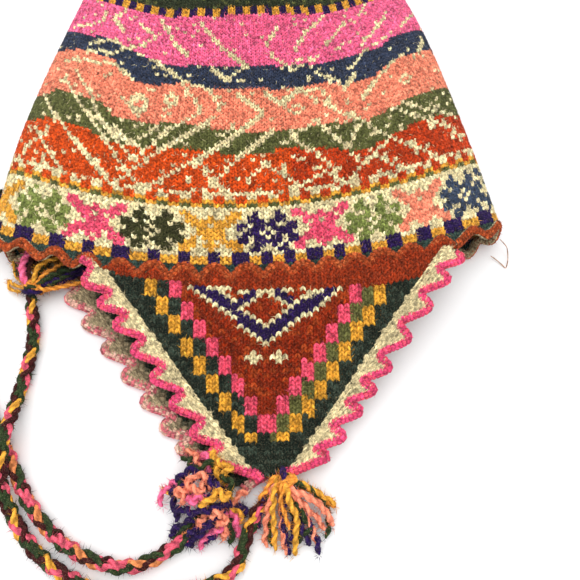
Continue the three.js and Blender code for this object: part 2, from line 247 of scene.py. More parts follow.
def joinParts(parts):
    # one part from many, each shifted past the points and patches before it
    counts = np.cumsum([0] + [len(part["points"]) for part in parts])
    patches = np.cumsum([0] + [part["patches"] for part in parts])
    joined = {"patches": int(patches[-1])}
    for key in ("points", "colours", "quadMap", "triMap"):
        joined[key] = np.concatenate([part[key] for part in parts])
    for key in ("quads", "tris"):
        joined[key] = np.concatenate([part[key] + first for part, first in zip(parts, counts)])
    for key in ("quadPatch", "triPatch"):
        joined[key] = np.concatenate([part[key] + first for part, first in zip(parts, patches)])
    return joined


def addPiece(name, part, finish, nodes, strandScale=(1.0, 1.0)):
    # patches are laid side by side in cells for the bake map, and on top of each other for the strand map
    mesh = bpy.data.meshes.new(name)
    quads, tris = part["quads"], part["tris"]
    loops = np.concatenate([quads.ravel(), tris.ravel()])
    starts = np.concatenate([np.arange(len(quads)) * 4, quads.size + np.arange(len(tris)) * 3])
    mesh.vertices.add(len(part["points"]))
    mesh.vertices.foreach_set("co", toFrame(part["points"]).ravel())
    mesh.loops.add(len(loops))
    mesh.loops.foreach_set("vertex_index", loops.astype(np.int32))
    mesh.polygons.add(len(starts))
    mesh.polygons.foreach_set("loop_start", starts.astype(np.int32))
    mesh.polygons.foreach_set("use_smooth", np.ones(len(starts), bool))
    mesh.update(calc_edges=True)
    dye = mesh.color_attributes.new("yarnColour", "FLOAT_COLOR", "POINT")
    solid = np.ones((len(part["points"]), 4))
    solid[:, :3] = np.clip(part["colours"], 0, 1)
    dye.data.foreach_set("color", solid.ravel())
    corner = np.concatenate([part["quadMap"].reshape(-1, 2), part["triMap"].reshape(-1, 2)])
    patch = np.concatenate([np.repeat(part["quadPatch"], 4), np.repeat(part["triPatch"], 3)])
    across = int(np.ceil(np.sqrt(part["patches"])))
    down = int(np.ceil(part["patches"] / across))
    cell = np.stack([patch % across, patch // across], -1)
    bake = (cell + bakeMargin + (1 - 2 * bakeMargin) * corner) / np.array([across, down])
    mesh.uv_layers.new(name="OFBake").uv.foreach_set("vector", bake.ravel())
    mesh.uv_layers.new(name="strand").uv.foreach_set("vector", (corner * np.array(strandScale)).ravel())
    mesh.materials.append(finish)
    mesh.validate()
    piece = bpy.data.objects.new(name, mesh)
    bpy.context.collection.objects.link(piece)
    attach(piece, "root")
    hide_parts(*nodes)
    print(name, len(quads) * 2 + len(tris), "triangles")
    return piece


def gridPart(points, colours, aroundClosed=False, startTip=None, endTip=None):
    # surface on a grid of rows and columns; a closed round joins its last column to its first,
    # and a tip closes an end with a fan
    rows, columns = points.shape[:2]
    spans = columns if aroundClosed else columns - 1
    r, c = (a.ravel() for a in np.mgrid[0:rows - 1, 0:spans])
    n = (c + 1) % columns
    quads = np.stack([r * columns + c, r * columns + n, (r + 1) * columns + n, (r + 1) * columns + c], -1)
    low = np.stack([c / spans, r / (rows - 1)], -1)
    high = np.stack([(c + 1) / spans, (r + 1) / (rows - 1)], -1)
    quadMap = np.stack([low, np.stack([high[:, 0], low[:, 1]], -1), high,
                        np.stack([low[:, 0], high[:, 1]], -1)], 1)
    flat, shades = points.reshape(-1, 3), np.broadcast_to(colours, points.shape).reshape(-1, 3)
    tris, triMap = np.zeros((0, 3), int), np.zeros((0, 3, 2))
    i = np.arange(spans)
    for tip, first, turned, edge in ((startTip, 0, True, 0.0), (endTip, (rows - 1) * columns, False, 1.0)):
        if tip is None:
            continue
        own = np.full(spans, len(flat))
        flat = np.concatenate([flat, np.asarray(tip, float)[None]])
        shades = np.concatenate([shades, shades[first:first + 1]])
        ring = (first + i, first + (i + 1) % columns)
        fan = np.stack([ring[1], ring[0], own] if turned else [ring[0], ring[1], own], -1)
        tris = np.concatenate([tris, fan])
        middle = np.stack([(i + 0.5) / spans, np.full(spans, edge)], -1)
        sides = [np.stack([(i + k) / spans, np.full(spans, abs(edge - tipShare))], -1) for k in (0, 1)]
        fanMap = np.stack([sides[1], sides[0], middle] if turned else [sides[0], sides[1], middle], 1)
        triMap = np.concatenate([triMap, fanMap])
    return {"points": flat, "colours": shades, "quads": quads, "tris": tris, "quadMap": quadMap,
            "triMap": triMap, "quadPatch": np.zeros(len(quads), int), "triPatch": np.zeros(len(tris), int),
            "patches": 1}


legStations = np.array([0, 0.28, 0.28, 0.28, 0.72, 0.72, 0.72, 1])  # share of the way along the leg
legSides = np.array([0, -1, 0, 1, -1, 0, 1, 0])  # left edge, ridge or right edge
# The shade of a leg is painted: darker at its ends and edges, where the neighbouring yarn would shade it,
# with a painted highlight along its ridge
legPaintedShade = np.array([0.9, 0.76, 1.12, 0.76, 0.76, 1.12, 0.76, 0.8])  # darker at the edges than on the ridge
legQuads = np.array([[1, 2, 5, 4], [2, 3, 6, 5]])
legTris = np.array([[0, 2, 1], [0, 3, 2], [4, 5, 7], [5, 6, 7]])

# The legs of one stitch run in shares of its column and row; half is half the yarn's width,
# top, edge, start and end the heights of the ridge, the sides and the two ends, in millimetres
knitStitch = {"legs": [(-0.04, -0.76, -0.5, 0.6), (0.04, -0.76, 0.5, 0.6)],
              "half": 0.5, "top": 0.85, "edge": 0.2, "start": 0.5, "end": 0.2}
purlStitch = {"legs": [(-0.62, -0.1, 0.62, 0.12), (-0.5, 0.42, 0.5, 0.36)],
              "half": 0.5, "top": 0.7, "edge": 0.25, "start": 0.0, "end": 0.0}
cordStitch = {"legs": [(-0.1, -0.62, -0.36, 0.52), (0.1, -0.62, 0.36, 0.52)],
              "half": 0.38, "top": 0.5, "edge": 0.24, "start": 0.3, "end": 0.05}
# Spread from stitch to stitch: lean in columns, the others as shares; slip is the part of the lean
# that goes along the row
stitchVary = {"lean": 0.06, "slip": 0.5, "fat": 0.1, "rise": 0.1, "tone": 0.22}


def stitchPart(place, columns, rows, colours, stitch, columnWidth, rowHeight, hand=1):
    # each leg is a lozenge of eight points, two rings between two tucked ends, bent over the cloth
    # by place; hand is -1 where columns, rows and lift make a left-handed frame
    parts = []
    count = len(columns)
    for u0, v0, u1, v1 in stitch["legs"]:
        run = np.array([(u1 - u0) * columnWidth, (v1 - v0) * rowHeight])
        run = run / np.linalg.norm(run)
        lean = dice.normal(0, stitchVary["lean"], (count, 1))
        fat = stitch["half"] * (1 + dice.normal(0, stitchVary["fat"], (count, 1)))
        u = u0 + (u1 - u0) * legStations + fat * legSides * run[1] / columnWidth + lean * legStations
        v = v0 + (v1 - v0) * legStations - fat * legSides * run[0] / rowHeight + lean * stitchVary["slip"]
        lift = np.where(legSides == 0, stitch["top"], stitch["edge"])
        lift = np.where(legStations == 0, stitch["start"], np.where(legStations == 1, stitch["end"], lift))
        lift = lift * (1 + dice.normal(0, stitchVary["rise"], (count, 1)))
        points = place(columns[:, None] + u, rows[:, None] + v, lift)
        tone = 1 + dice.normal(0, stitchVary["tone"], (count, 1, 1))
        # painted shade and highlight along each leg, times a random tone from stitch to stitch
        shades = colours[:, None, :] * legPaintedShade[None, :, None] * tone
        first = np.arange(count)[:, None, None] * len(legSides)
        flatMap = np.stack([0.5 + 0.5 * legSides, legStations], -1)
        quads, tris = legQuads[:, ::hand], legTris[:, ::hand]
        parts.append({
            "points": points.reshape(-1, 3), "colours": shades.reshape(-1, 3),
            "quads": (first + quads).reshape(-1, 4), "tris": (first + tris).reshape(-1, 3),
            "quadMap": np.tile(flatMap[quads], (count, 1, 1)),
            "triMap": np.tile(flatMap[tris], (count, 1, 1)),
            "quadPatch": np.repeat(np.arange(count), len(quads)),
            "triPatch": np.repeat(np.arange(count), len(tris)), "patches": count,
        })
    return joinParts(parts)


fuzz = {"reach": (0.7, 2.4), "rise": (-0.1, 0.6), "thick": 0.09, "foot": 0.78, "pale": 1.12, "tone": 0.15}
looseFibre = {"reach": (0.8, 2.6), "foot": 0.85, "tone": (0.85, 1.3)}
fuzzFaces = np.array([[0, 1, 3], [1, 2, 3], [2, 0, 3], [0, 2, 1]])


def fuzzPart(place, columns, rows, colours, setup, columnWidth, rowHeight, hand=1):
    # loose fibres: each is a long thin pyramid from a foot in the yarn to a tip further over the cloth
    count = len(columns)
    turn = dice.uniform(0, 2 * np.pi, count)
    reach = dice.uniform(*setup["reach"], (count, 1))
    rise = dice.uniform(*setup["rise"], count)
    out = reach * np.stack([np.cos(turn) / columnWidth, np.sin(turn) / rowHeight], -1)
    side = setup["thick"] * np.stack([-np.sin(turn) / columnWidth, np.cos(turn) / rowHeight], -1)
    step = np.stack([side, -side, 0 * side, out], 1)
    lift = setup["foot"] + np.stack([0 * rise, 0 * rise, 0 * rise - 2 * setup["thick"], rise], 1)
    points = place(columns[:, None] + step[..., 0], rows[:, None] + step[..., 1], lift)
    tone = setup["pale"] * (1 + dice.normal(0, setup["tone"], (count, 1)))
    return pyramidPart(points, colours * tone, hand)


def pyramidPart(points, colours, hand=1):
    # one fibre to four points, three at its foot and one at its tip
    count = len(points)
    faces = fuzzFaces[:, ::hand]
    flatMap = np.array([[0.0, 0.0], [1.0, 0.0], [0.5, 0.1], [0.5, 1.0]])
    return {
        "points": points.reshape(-1, 3), "colours": np.repeat(colours[:, None, :], 4, 1).reshape(-1, 3),
        "quads": np.zeros((0, 4), int), "quadMap": np.zeros((0, 4, 2)), "quadPatch": np.zeros(0, int),
        "tris": (np.arange(count)[:, None, None] * 4 + faces).reshape(-1, 3),
        "triMap": np.tile(flatMap[faces], (count, 1, 1)), "triPatch": np.repeat(np.arange(count), 4),
        "patches": count,
    }


def unit(vectors):  # each vector over its length
    return vectors / np.maximum(np.linalg.norm(vectors, axis=-1, keepdims=True), 1e-9)


spanSteps = 40  # samples between two points of a route before it is spaced evenly


def smoothRoute(points, count):
    # centripetal Catmull-Rom curve through the points, sampled evenly along its length
    p = np.asarray(points, float)
    p = np.concatenate([[2 * p[0] - p[1]], p, [2 * p[-1] - p[-2]]])
    p0, p1, p2, p3 = p[:-3], p[1:-2], p[2:-1], p[3:]
    d0, d1, d2 = (np.sqrt(np.linalg.norm(b - a, axis=1))[:, None]
                  for a, b in ((p0, p1), (p1, p2), (p2, p3)))
    m1 = ((p1 - p0) / d0 - (p2 - p0) / (d0 + d1) + (p2 - p1) / d1) * d1
    m2 = ((p2 - p1) / d1 - (p3 - p1) / (d1 + d2) + (p3 - p2) / d2) * d1
    t = np.linspace(0, 1, spanSteps, endpoint=False)[None, :, None]
    fine = (p1[:, None] + m1[:, None] * t + (3 * (p2 - p1) - 2 * m1 - m2)[:, None] * t ** 2
            + (2 * (p1 - p2) + m1 + m2)[:, None] * t ** 3).reshape(-1, 3)
    fine = np.concatenate([fine, p2[-1:]])
    return evenly(fine, count)


def pathLength(points):  # way along a line at each of its points
    return np.concatenate([[0], np.cumsum(np.linalg.norm(np.diff(points, axis=0), axis=1))])


def evenly(points, count):  # the same line through points at equal distances
    way = pathLength(points)
    at = np.linspace(0, way[-1], count)
    return np.stack([np.interp(at, way, points[:, k]) for k in range(3)], -1)


def sideVectors(path, guide):
    # two directions across a path: the guide made square to the path, and the one square to both
    ahead = unit(np.gradient(path, axis=0))
    side = unit(guide - ahead * np.sum(guide * ahead, -1, keepdims=True))
    return ahead, side, np.cross(ahead, side)


def fibrePart(lines, radii, colours, count, reach=looseFibre["reach"]):
    # loose fibres round yarns: each leaves the skin of one line, chosen at random, in any direction
    lines = np.stack(lines)
    which = dice.integers(0, len(lines), count)
    stop = dice.integers(0, lines.shape[1], count)
    ahead = unit(np.gradient(lines, axis=1))[which, stop]
    heading = unit(dice.normal(0, 1, (count, 3)))
    side = unit(np.cross(heading, ahead))
    third = np.cross(side, heading)
    foot = lines[which, stop] + heading * np.asarray(radii)[which][:, None] * looseFibre["foot"]
    tip = foot + heading * dice.uniform(*reach, (count, 1))
    thick = fuzz["thick"]
    points = np.stack([foot + side * thick, foot - side * thick, foot + third * 2 * thick, tip], 1)
    points[..., 2] = np.maximum(points[..., 2], tableGap)
    return pyramidPart(points, np.asarray(colours)[which] * dice.uniform(*looseFibre["tone"], (count, 1)))


# A yarn's ends are thinned to a share of its radius and closed by a tip; ply is painted shade that darkens
# its grooves, with a painted highlight on its lobes
yarnShape = {"endThin": 0.55, "endRun": 12, "tip": 0.3, "ply": 1.6}


def yarnPart(path, radius, colour, guide, sides=8, lobe=0.16, turnLength=5.0, taper=1.0):
    # two-ply yarn: a round profile with two lobes that turn as it goes along the path
    ahead, side, up = sideVectors(path, np.asarray(guide, float))
    way = pathLength(path)
    share = way / way[-1]
    ends = np.minimum(1, yarnShape["endThin"] + yarnShape["endRun"] * np.minimum(share, 1 - share))
    thick = radius * (1 - (1 - taper) * share ** 2) * ends
    angle = np.linspace(0, 2 * np.pi, sides, endpoint=False)
    swell = lobe * np.cos(2 * angle[None, :] - 2 * np.pi * way[:, None] / turnLength)
    reach = thick[:, None] * (1 + swell)
    points = path[:, None] + reach[..., None] * (
        np.cos(angle)[None, :, None] * side[:, None] + np.sin(angle)[None, :, None] * up[:, None])
    # painted shade in the grooves between the plies and painted highlight on their lobes
    shades = np.asarray(colour) * (1 + yarnShape["ply"] * swell)[..., None]
    startTip = path[0] - ahead[0] * radius * yarnShape["tip"]
    endTip = path[-1] + ahead[-1] * radius * yarnShape["tip"]
    return gridPart(points, shades, True, startTip, endTip)


# Plaited ties: the cords lie where their solids lie

tie = {"diameter": 4.8, "turn": 20.0, "middle": 1.15, "weave": 0.35, "strand": 1.08, "lobe": 0.24,
       "twist": 4.4, "fibres": 2500, "steps": 300, "cordPoints": 36, "mapScale": (1.0, 60.0)}
nearTieColours = ("maroon", "plaitPink", "leafGreen", "maroon", "mustard", "leafGreen")
farTieColours = ("leafGreen", "maroon", "plaitPink", "leafGreen", "plaitOrange", "plaitPink")
nearTieRoute = [
    (2.8, -80.8, 5.2), (-0.2, -82.9, 4.2), (-4.4, -91.3, 2.6), (-9.1, -101.7, 2.6),
    (-28.8, -108.1, 2.6), (-48, -107.6, 2.6), (-69.4, -97.5, 2.6), (-78.2, -89.5, 2.6),
    (-83.1, -82.9, 2.9), (-87.2, -74.4, 5.4), (-88.3, -64.9, 7.9), (-88.6, -56.9, 7.9),
    (-88.6, -48.4, 5), (-87.8, -38.4, 2.8), (-86.8, -28.8, 2.6), (-86.5, -18.8, 2.6), (-89.2, -4, 4),
    (-89.4, -1.6, 4.3)]
farTieRoute = [
    (-18, -82.9, 4.4), (-20.5, -85.4, 3.4), (-24.8, -91.2, 2.6), (-42.1, -99.3, 2.6),
    (-61.2, -94.2, 2.6), (-76.5, -81.2, 2.6), (-89.6, -60.5, 2.6), (-100.7, -42.4, 2.6),
    (-109, -24.8, 2.6), (-114.2, -7, 2.6), (-117.2, 10.9, 2.6), (-118.5, 25.1, 3.6),
    (-118.7, 27.4, 3.9)]


def plaitPart(route, colours, setup):
    # round plait: half of the strands wind one way and half the other, each over and under in turn
    path = smoothRoute(route, setup["steps"])
    ahead, side, up = sideVectors(path, upward)
    turn = 2 * np.pi * pathLength(path) / setup["turn"]
    ways = len(colours) // 2
    over = setup["weave"] * np.cos(ways * turn - np.pi / 2)
    strands, lines = [], []
    for k, name in enumerate(colours):
        hand = 1 if k % 2 == 0 else -1
        angle = hand * turn + ((k // 2) * 2 + (0 if hand == 1 else 1)) * np.pi / ways
        reach = (setup["middle"] + hand * over)[:, None]
        line = path + reach * (np.cos(angle)[:, None] * side + np.sin(angle)[:, None] * up)
        line[:, 2] = np.maximum(line[:, 2], setup["strand"] + tableGap)
        lines.append(line)
        strands.append(yarnPart(line, setup["strand"], yarn(name), side, lobe=setup["lobe"],
                                turnLength=setup["twist"]))
    dyes = [yarn(name) for name in colours]
    loose = fibrePart(lines, [setup["strand"]] * len(lines), dyes, setup["fibres"])
    return joinParts(strands + [loose]), path


tiePieces = {}
for name, route, colours, node in (("tieNear", nearTieRoute, nearTieColours, "tie_cord_near"),
                                   ("tieFar", farTieRoute, farTieColours, "tie_cord_far")):
    part, path = plaitPart(route, colours, tie)
    tiePieces[name] = (addPiece(name, part, plaitWool, [node], tie["mapScale"]), path)
print("ties plaited")

# Crown

foldRound = 1.5  # reach of the underside's rounding, in fold heights


def sectionAt(along, column):
    # cubic through the table, with slopes taken between neighbouring rows
    at, value = crownSections[:, 0], crownSections[:, column]
    last = len(at) - 1
    before, after = np.maximum(np.arange(last + 1) - 1, 0), np.minimum(np.arange(last + 1) + 1, last)
    slope = (value[after] - value[before]) / (at[after] - at[before])
    i = np.clip(np.searchsorted(at, along, side="left") - 1, 0, last - 1)
    span = at[i + 1] - at[i]
    t = (along - at[i]) / span
    rise = t * t * (3 - 2 * t)
    return (value[i] * (1 - rise) + value[i + 1] * rise + t * (1 - t) ** 2 * span * slope[i]
            + t * t * (t - 1) * span * slope[i + 1])


def crownSurface(along, angle, inset):
    # elliptic arch above the fold, flat underside with rounded edges below; a row climbs to the folds
    along, angle, inset = np.broadcast_arrays(*(np.asarray(a, float) for a in (along, angle, inset)))
    centre, half, height, fold, sag = (sectionAt(along, k) for k in (1, 2, 3, 4, 5))
    half, sag = np.maximum(half, 0), np.maximum(sag, 0)
    x = (half - inset) * np.cos(angle)
    arch = fold + (height - fold - inset) * np.sin(angle)
    bend = np.minimum(foldRound * fold, half)
    into = np.clip((np.abs(x) - (half - bend)) / np.maximum(bend - inset, 1e-6), 0, 1)
    under = inset + (fold - inset) * (1 - np.sqrt(1 - into ** 2))
    z = np.where(np.sin(angle) < 0, under, arch)
    return np.stack([centre + x, along + sag * np.cos(angle) ** 2, z], -1)


crownKnit = {"columns": 200, "rowHeight": 1.6, "columnWidth": 2.06, "depth": 1.0, "wall": 2.8,
             "measureAt": 60.0, "rimRun": 4.0, "tipGap": 1.0}
halfRound = crownKnit["columns"] // 2
underSine = -0.3  # sine of the angle past which the rim lies on the table
measureRing = np.linspace(np.pi, -np.pi, 4001)
ringWay = pathLength(crownSurface(np.full(len(measureRing), crownKnit["measureAt"]), measureRing, 0.0))
columnSpread = (2.86, 1.48)  # the upper face is stretched a little to the right near its middle


def columnAngle(column):  # column 0 is the left fold, 50 the top and 100 the right fold
    column = np.mod(column, crownKnit["columns"])
    across = np.pi * np.clip(column, 0, halfRound) / halfRound
    column = column + columnSpread[0] * np.sin(across) + columnSpread[1] * np.sin(2 * across)
    return np.interp(column / crownKnit["columns"] * ringWay[-1], ringWay, measureRing)


def crownPlace(column, row, lift):
    # chart column and row to the cloth; past the rim the knitting goes straight on
    angle = columnAngle(column)
    along = row * crownKnit["rowHeight"]
    inset = crownKnit["depth"] - lift
    rim = crownSurface(np.zeros_like(along), angle, inset)
    onward = rim - crownSurface(np.full_like(along, crownKnit["rimRun"]), angle, inset)
    onward[..., 2] = np.where(np.sin(angle) < underSine, 0, onward[..., 2])
    on = crownSurface(np.clip(along, 0, crownLength - crownKnit["tipGap"]), angle, inset)
    return on + unit(onward) * np.maximum(-along, 0)[..., None]


# Small repeats of the crown's chart, top row first
starChart = ["...X...X...", "..XX...XX..", "..XXX.XXX..", "XX.XXXXX.XX", "XXXXX.XXXXX",
             ".XXX.X.XXX.", "XXXXX.XXXXX", "XX.XXXXX.XX", "..XXX.XXX..", "..XX...XX.."]
crossChart = ["XX.......XX", "XXX..X..XXX", ".XXXXXXXXX.", "..XXX.XXX..", "...XXXXX...",
              "...XXXXX...", "..XXXXXXX..", ".XXXXXXXXX.", "XXX.XXX.XXX", "XX...X...XX"]
motifColours = [
    "starNavy", "mustard", "starOlive", "rose", "starDark", "mustard", "purple", "rose", "starOlive",
    "coral", "starNavy", "starNavy", "starDark", "rose", "starOlive", "coral", "purple", "mustard",
    "starDark", "rose"]
# First row of each band: (column, row) points across the upper face where it wanders, else one level row
checkRow = [(18, 69.5), (27, 68.5), (35, 70.5), (43, 71.5), (52, 72), (61, 70.5), (70, 68.5), (82, 68.5)]
bandTable = [
    ("rust", [(0, 17)]),
    ("olive", [(5, 28.5), (8.5, 30), (16, 30), (19.5, 29), (24, 27.5), (31.5, 29), (39.5, 29.5), (47, 27.5),
               (57, 29), (64.5, 27.5), (69.5, 25.5), (73.5, 25), (83, 27.5), (91, 28), (96, 27)]),
    ("coral", [(4, 35.5), (8.5, 38.5), (17.5, 38.5), (21.5, 35.5), (25, 34.5), (36, 36.5), (41, 35.5),
               (47.5, 34.5), (62.5, 34.5), (74.5, 32.5), (81.5, 34), (88.5, 35.5)]),
    ("navy", [(4.5, 49.5), (12, 51.5), (17.5, 51.5), (20.5, 49), (24.5, 46), (28.5, 46), (35, 48), (40, 47),
              (65.5, 46), (70.5, 44.5), (78.5, 44.5), (86.5, 47.5), (91.5, 47.5), (98, 46.5)]),
    ("pink", [(7.5, 56), (16, 57), (20.5, 55), (29, 53), (48, 54.5), (58.5, 53), (71, 51.5), (81.5, 52),
              (86.5, 54)]),
    ("purple", checkRow), ("darkGreen", [(column, row + 3) for column, row in checkRow]),
    ("rust", [(0, 92)]), ("olive", [(0, 104)]), ("coral", [(0, 114)]), ("pink", [(0, 124)]),
    ("purple", [(0, 134)])]
# Cream lines of the upper bands as strings of (column, row) points; the lower face repeats them mirrored
creamLines = [
    [(8, 41), (17, 33), (21, 28), (26, 21), (29, 17)],
    [(10, 44), (15, 40), (19, 33), (23, 29), (27, 24)], [(4, 35), (9, 31), (16, 25), (23, 18)],
    [(22, 32), (26, 28), (30, 33)], [(27, 24), (32, 32), (39, 40), (34, 48)],
    [(24, 17), (32, 28), (41, 37), (43, 41), (40, 46), (35, 48), (28, 53)],
    [(29, 17), (39, 26), (46, 33), (52, 39), (46, 45)], [(40, 17), (47, 27), (54, 34)],
    [(39, 28), (41, 21), (45, 17)], [(5, 26), (11, 21), (14, 17)], [(2, 15), (6, 22), (10, 30)],
    [(6, 46), (13, 48), (19, 49), (24, 46)], [(11, 51), (17, 52), (21, 55), (27, 53), (33, 49)],
    [(11, 53), (16, 56), (22, 55)], [(22, 64), (27, 61), (24, 57), (20, 55)],
    [(37, 68), (41, 62), (45, 57), (49, 53)], [(12, 66), (13, 62), (9, 59), (4, 57)],
    [(27, 67), (29, 64), (32, 59), (35, 56)], [(18, 68), (15, 64), (19, 60)],
    [(40, 53), (44, 49), (48, 54)], [(63, 35), (58, 31.5), (55.5, 29.5)],
    [(57, 34), (58, 31), (61.5, 27), (65, 21.5), (67, 15.5)],
    [(65.5, 39.5), (69, 35.5), (73.5, 32), (76, 28), (82.5, 22.5), (88.5, 17)],
    [(80.5, 33.5), (88, 27.5), (94, 23.5), (96, 20)], [(83, 34.5), (87.5, 31), (96.5, 26)],
    [(67, 15.5), (69.5, 19), (72, 21.5), (77.5, 25)], [(58, 18), (63, 20.5), (64.5, 22)],
    [(69.5, 24.5), (70.5, 22), (73, 20.5)], [(74.5, 22), (78, 18.5), (80, 16)], [(55, 25), (55.5, 22)],
    [(63, 35), (67, 29), (69, 26)], [(69, 26), (71.5, 30.5), (73.5, 32)],
    [(48, 20), (52, 25), (58, 18)], [(74, 38), (78, 42), (84, 46), (90, 48)],
    [(73, 48), (78, 52), (87, 55)], [(63, 52), (65, 48), (70, 45)], [(60, 57), (64, 63), (70, 67)],
    [(68, 57), (75, 63)], [(77, 54), (83, 58), (88, 62)], [(90, 56), (98, 60)],
    [(58, 44), (65, 44), (68, 36)], [(52, 45), (56, 41), (60, 45), (64, 40)],
    [(54, 57), (59, 51), (66, 54)], [(70, 42), (74, 46)], [(92, 46), (96, 50)], [(79, 64), (84, 68)],
    [(53, 60), (57, 66)]]
creamDiamonds = [  # column, row, half height and half width
    (26, 39.5, 4.2, 2.6), (32.5, 42, 2.6, 1.9), (59, 39, 2.6, 1.9), (62, 22, 1.4, 1.4), (86, 40, 2.4, 1.6)]
speckle = {"rust": 0.06, "olive": 0.07, "coral": 0.05, "navy": 0.06, "pink": 0.05}
dashRows = [(14, "olive", "mustard"), (15, "mustard", "rust"), (16, "cream", "rust")]
creamRow = 17
# Rows and columns of the pattern, and shares of stitches that are left to chance
pattern = {"top": 80, "motifRow": 3, "motifPitch": 10, "motifShift": 14, "motifGap": 0.06,
           "lineReach": 0.44, "diamondHollow": 0.35, "greenFleck": 0.15, "creamFleck": 0.75,
           "deepColumn": 57, "deepRow": 30, "blockHalf": 0.27, "dashPitch": 4, "dashWide": 2}

# Columns at which the dark blocks of the first rows have their middles; the welt has one scallop to a block
blockColumns = [0, 9, 15.5, 21, 26.5, 32, 37, 42, 46.5, 51, 55, 59.5, 64, 69, 74.5, 80.5, 87, 95, 100, 200]
blockNumbers = [-0.28, 1, 2, 3, 4, 5, 6, 7, 8, 9, 10, 11, 12, 13, 14, 15, 16, 17, 17.65, 33.72]


def blockPhase(column):  # counts blocks round the rim, a whole number at each block's middle
    return np.interp(np.mod(column, crownKnit["columns"]), blockColumns, blockNumbers)


def chartRows(chart):  # marked stitches, lowest row first
    return np.array([[mark == "X" for mark in line] for line in chart[::-1]])


def recolour(number, where, name):  # the chart with some of its stitches in another yarn
    return np.where(where, yarnNumber(name), number)


def crownChart(column, row):
    # yarn number of each stitch: bands crossed by cream lines, rows of dashes, motifs, blocks at the rim
    around = crownKnit["columns"]
    column, row = np.broadcast_arrays(np.floor(column).astype(int) % around, np.floor(row).astype(int))
    number = np.full(column.shape, yarnNumber("cream"))
    mirrored = np.where(column < halfRound, column, around - 1 - column) + 0.5
    for name, edge in bandTable:
        number = recolour(number, row + 0.5 >= np.interp(mirrored, *np.transpose(edge)), name)
    # cream lines: stitches less than half a stitch from a string of points, and small diamonds
    lattice = np.zeros(column.shape, bool)
    for line in creamLines:
        for (c0, r0), (c1, r1) in zip(line[:-1], line[1:]):
            run = ((mirrored - c0) * (c1 - c0) + (row - r0) * (r1 - r0)) / ((c1 - c0) ** 2 + (r1 - r0) ** 2)
            run = np.clip(run, 0, 1)
            off = np.hypot(mirrored - c0 - run * (c1 - c0), row - r0 - run * (r1 - r0))
            lattice |= off < pattern["lineReach"]
    for c0, r0, tall, wide in creamDiamonds:
        off = np.abs(row - r0) / tall + np.abs(mirrored - c0) / wide
        lattice |= (off < 1) & (off > pattern["diamondHollow"])
    stray = dice.random(column.shape)
    for name, share in speckle.items():
        lattice |= (number == yarnNumber(name)) & (stray < share)
    crossed = np.isin(number, [yarnNumber(name) for name in speckle]) & (row < pattern["top"])
    number = recolour(number, lattice & crossed, "cream")
    greenFleck = (number == yarnNumber("darkGreen")) & (stray < pattern["greenFleck"])
    number = recolour(number, greenFleck, "olive")
    dash = column % pattern["dashPitch"] < pattern["dashWide"]
    checks = (number == yarnNumber("purple")) & (row < pattern["top"])
    number = recolour(number, checks & dash, "mustard")
    for at, marked, plain in dashRows:
        number = recolour(number, row == at, plain)
        number = recolour(number, (row == at) & dash, marked)
    number = recolour(number, (row == creamRow) & (stray < pattern["creamFleck"]), "cream")
    deep = (mirrored > pattern["deepColumn"]) & (row < pattern["deepRow"])
    number = recolour(number, (number == yarnNumber("rust")) & deep, "deepRust")
    # stars and crosses in turn, one column wider than their pitch
    for k, name in enumerate(motifColours):
        chart = chartRows(starChart if k % 2 == 0 else crossChart)
        tall, wide = chart.shape
        across = column + pattern["motifShift"] - pattern["motifPitch"] * k
        across = np.mod(across + halfRound, around) - halfRound
        up = row - pattern["motifRow"]
        inside = (across >= 0) & (across < wide) & (up >= 0) & (up < tall)
        marked = chart[np.clip(up, 0, tall - 1), np.clip(across, 0, wide - 1)]
        number = recolour(number, inside & marked & (stray > pattern["motifGap"]), name)
    phase = blockPhase(column + 0.5)
    block = np.abs(phase - np.round(phase)) < pattern["blockHalf"]
    low = row < pattern["motifRow"]
    number = recolour(number, low & block, "purple")
    number = recolour(number, low & ~block, "mustard")
    number = recolour(number, (row == pattern["motifRow"] - 1) & ~block, "cream")
    return recolour(number, row < 0, "teal")


# Rim welt: a narrow knitted cord sewn on in scallops, one to each block of the first rows

rimWelt = {"middle": 3.3, "wave": 2.1, "freeWave": 1.8, "half": 2.0, "thick": 1.45, "ruffle": 0.5,
           "flapLift": 0.3, "flapRise": 0.5, "valleyRound": 0.01, "leftDeep": 0.9, "leftTo": 54,
           "leftFrom": 188, "leftFade": 12, "cover": 1.2, "clear": 0.1, "steps": 960, "stitch": 1.6,
           "mottle": 0.2, "fibres": 3000, "mapScale": (12.0, 400.0)}
nearSpan = {"middle": 4.5, "half": 54, "fade": 6}  # where the upper flap takes up the rim


def rimOut(column, onFlap):
    # distance of the welt's middle below the rim: an even wave on the free rim, round scallops with
    # sharp valleys where the flap takes it up; to the left they are deeper and run half a block ahead
    leftHalf = np.maximum(np.clip((rimWelt["leftTo"] - column) / rimWelt["leftFade"], 0, 1),
                          np.clip((column - rimWelt["leftFrom"]) / rimWelt["leftFade"], 0, 1))
    phase = np.pi * blockPhase(column) + np.pi / 2 * leftHalf
    even = np.cos(2 * phase)
    scalloped = 1 - 2 * np.sqrt(np.sin(phase) ** 2 + rimWelt["valleyRound"])
    deep = rimWelt["wave"] * scalloped + rimWelt["leftDeep"] * leftHalf * (1 + scalloped)
    wave = rimWelt["freeWave"] * even * (1 - onFlap) + deep * onFlap
    return rimWelt["middle"] - rimWelt["flapLift"] * onFlap + wave, even


def onNearFlap(x):  # 1 over the upper flap, 0 on the free rim
    return np.clip((nearSpan["half"] - np.abs(x - nearSpan["middle"])) / nearSpan["fade"], 0, 1)


def flapShare(column):  # 1 where the rim's upper layer carries the flap, 0 on the free rim
    angle = columnAngle(column)
    return np.where(np.sin(angle) > 0, onNearFlap(rimCentre + rimHalf * np.cos(angle)), 0)


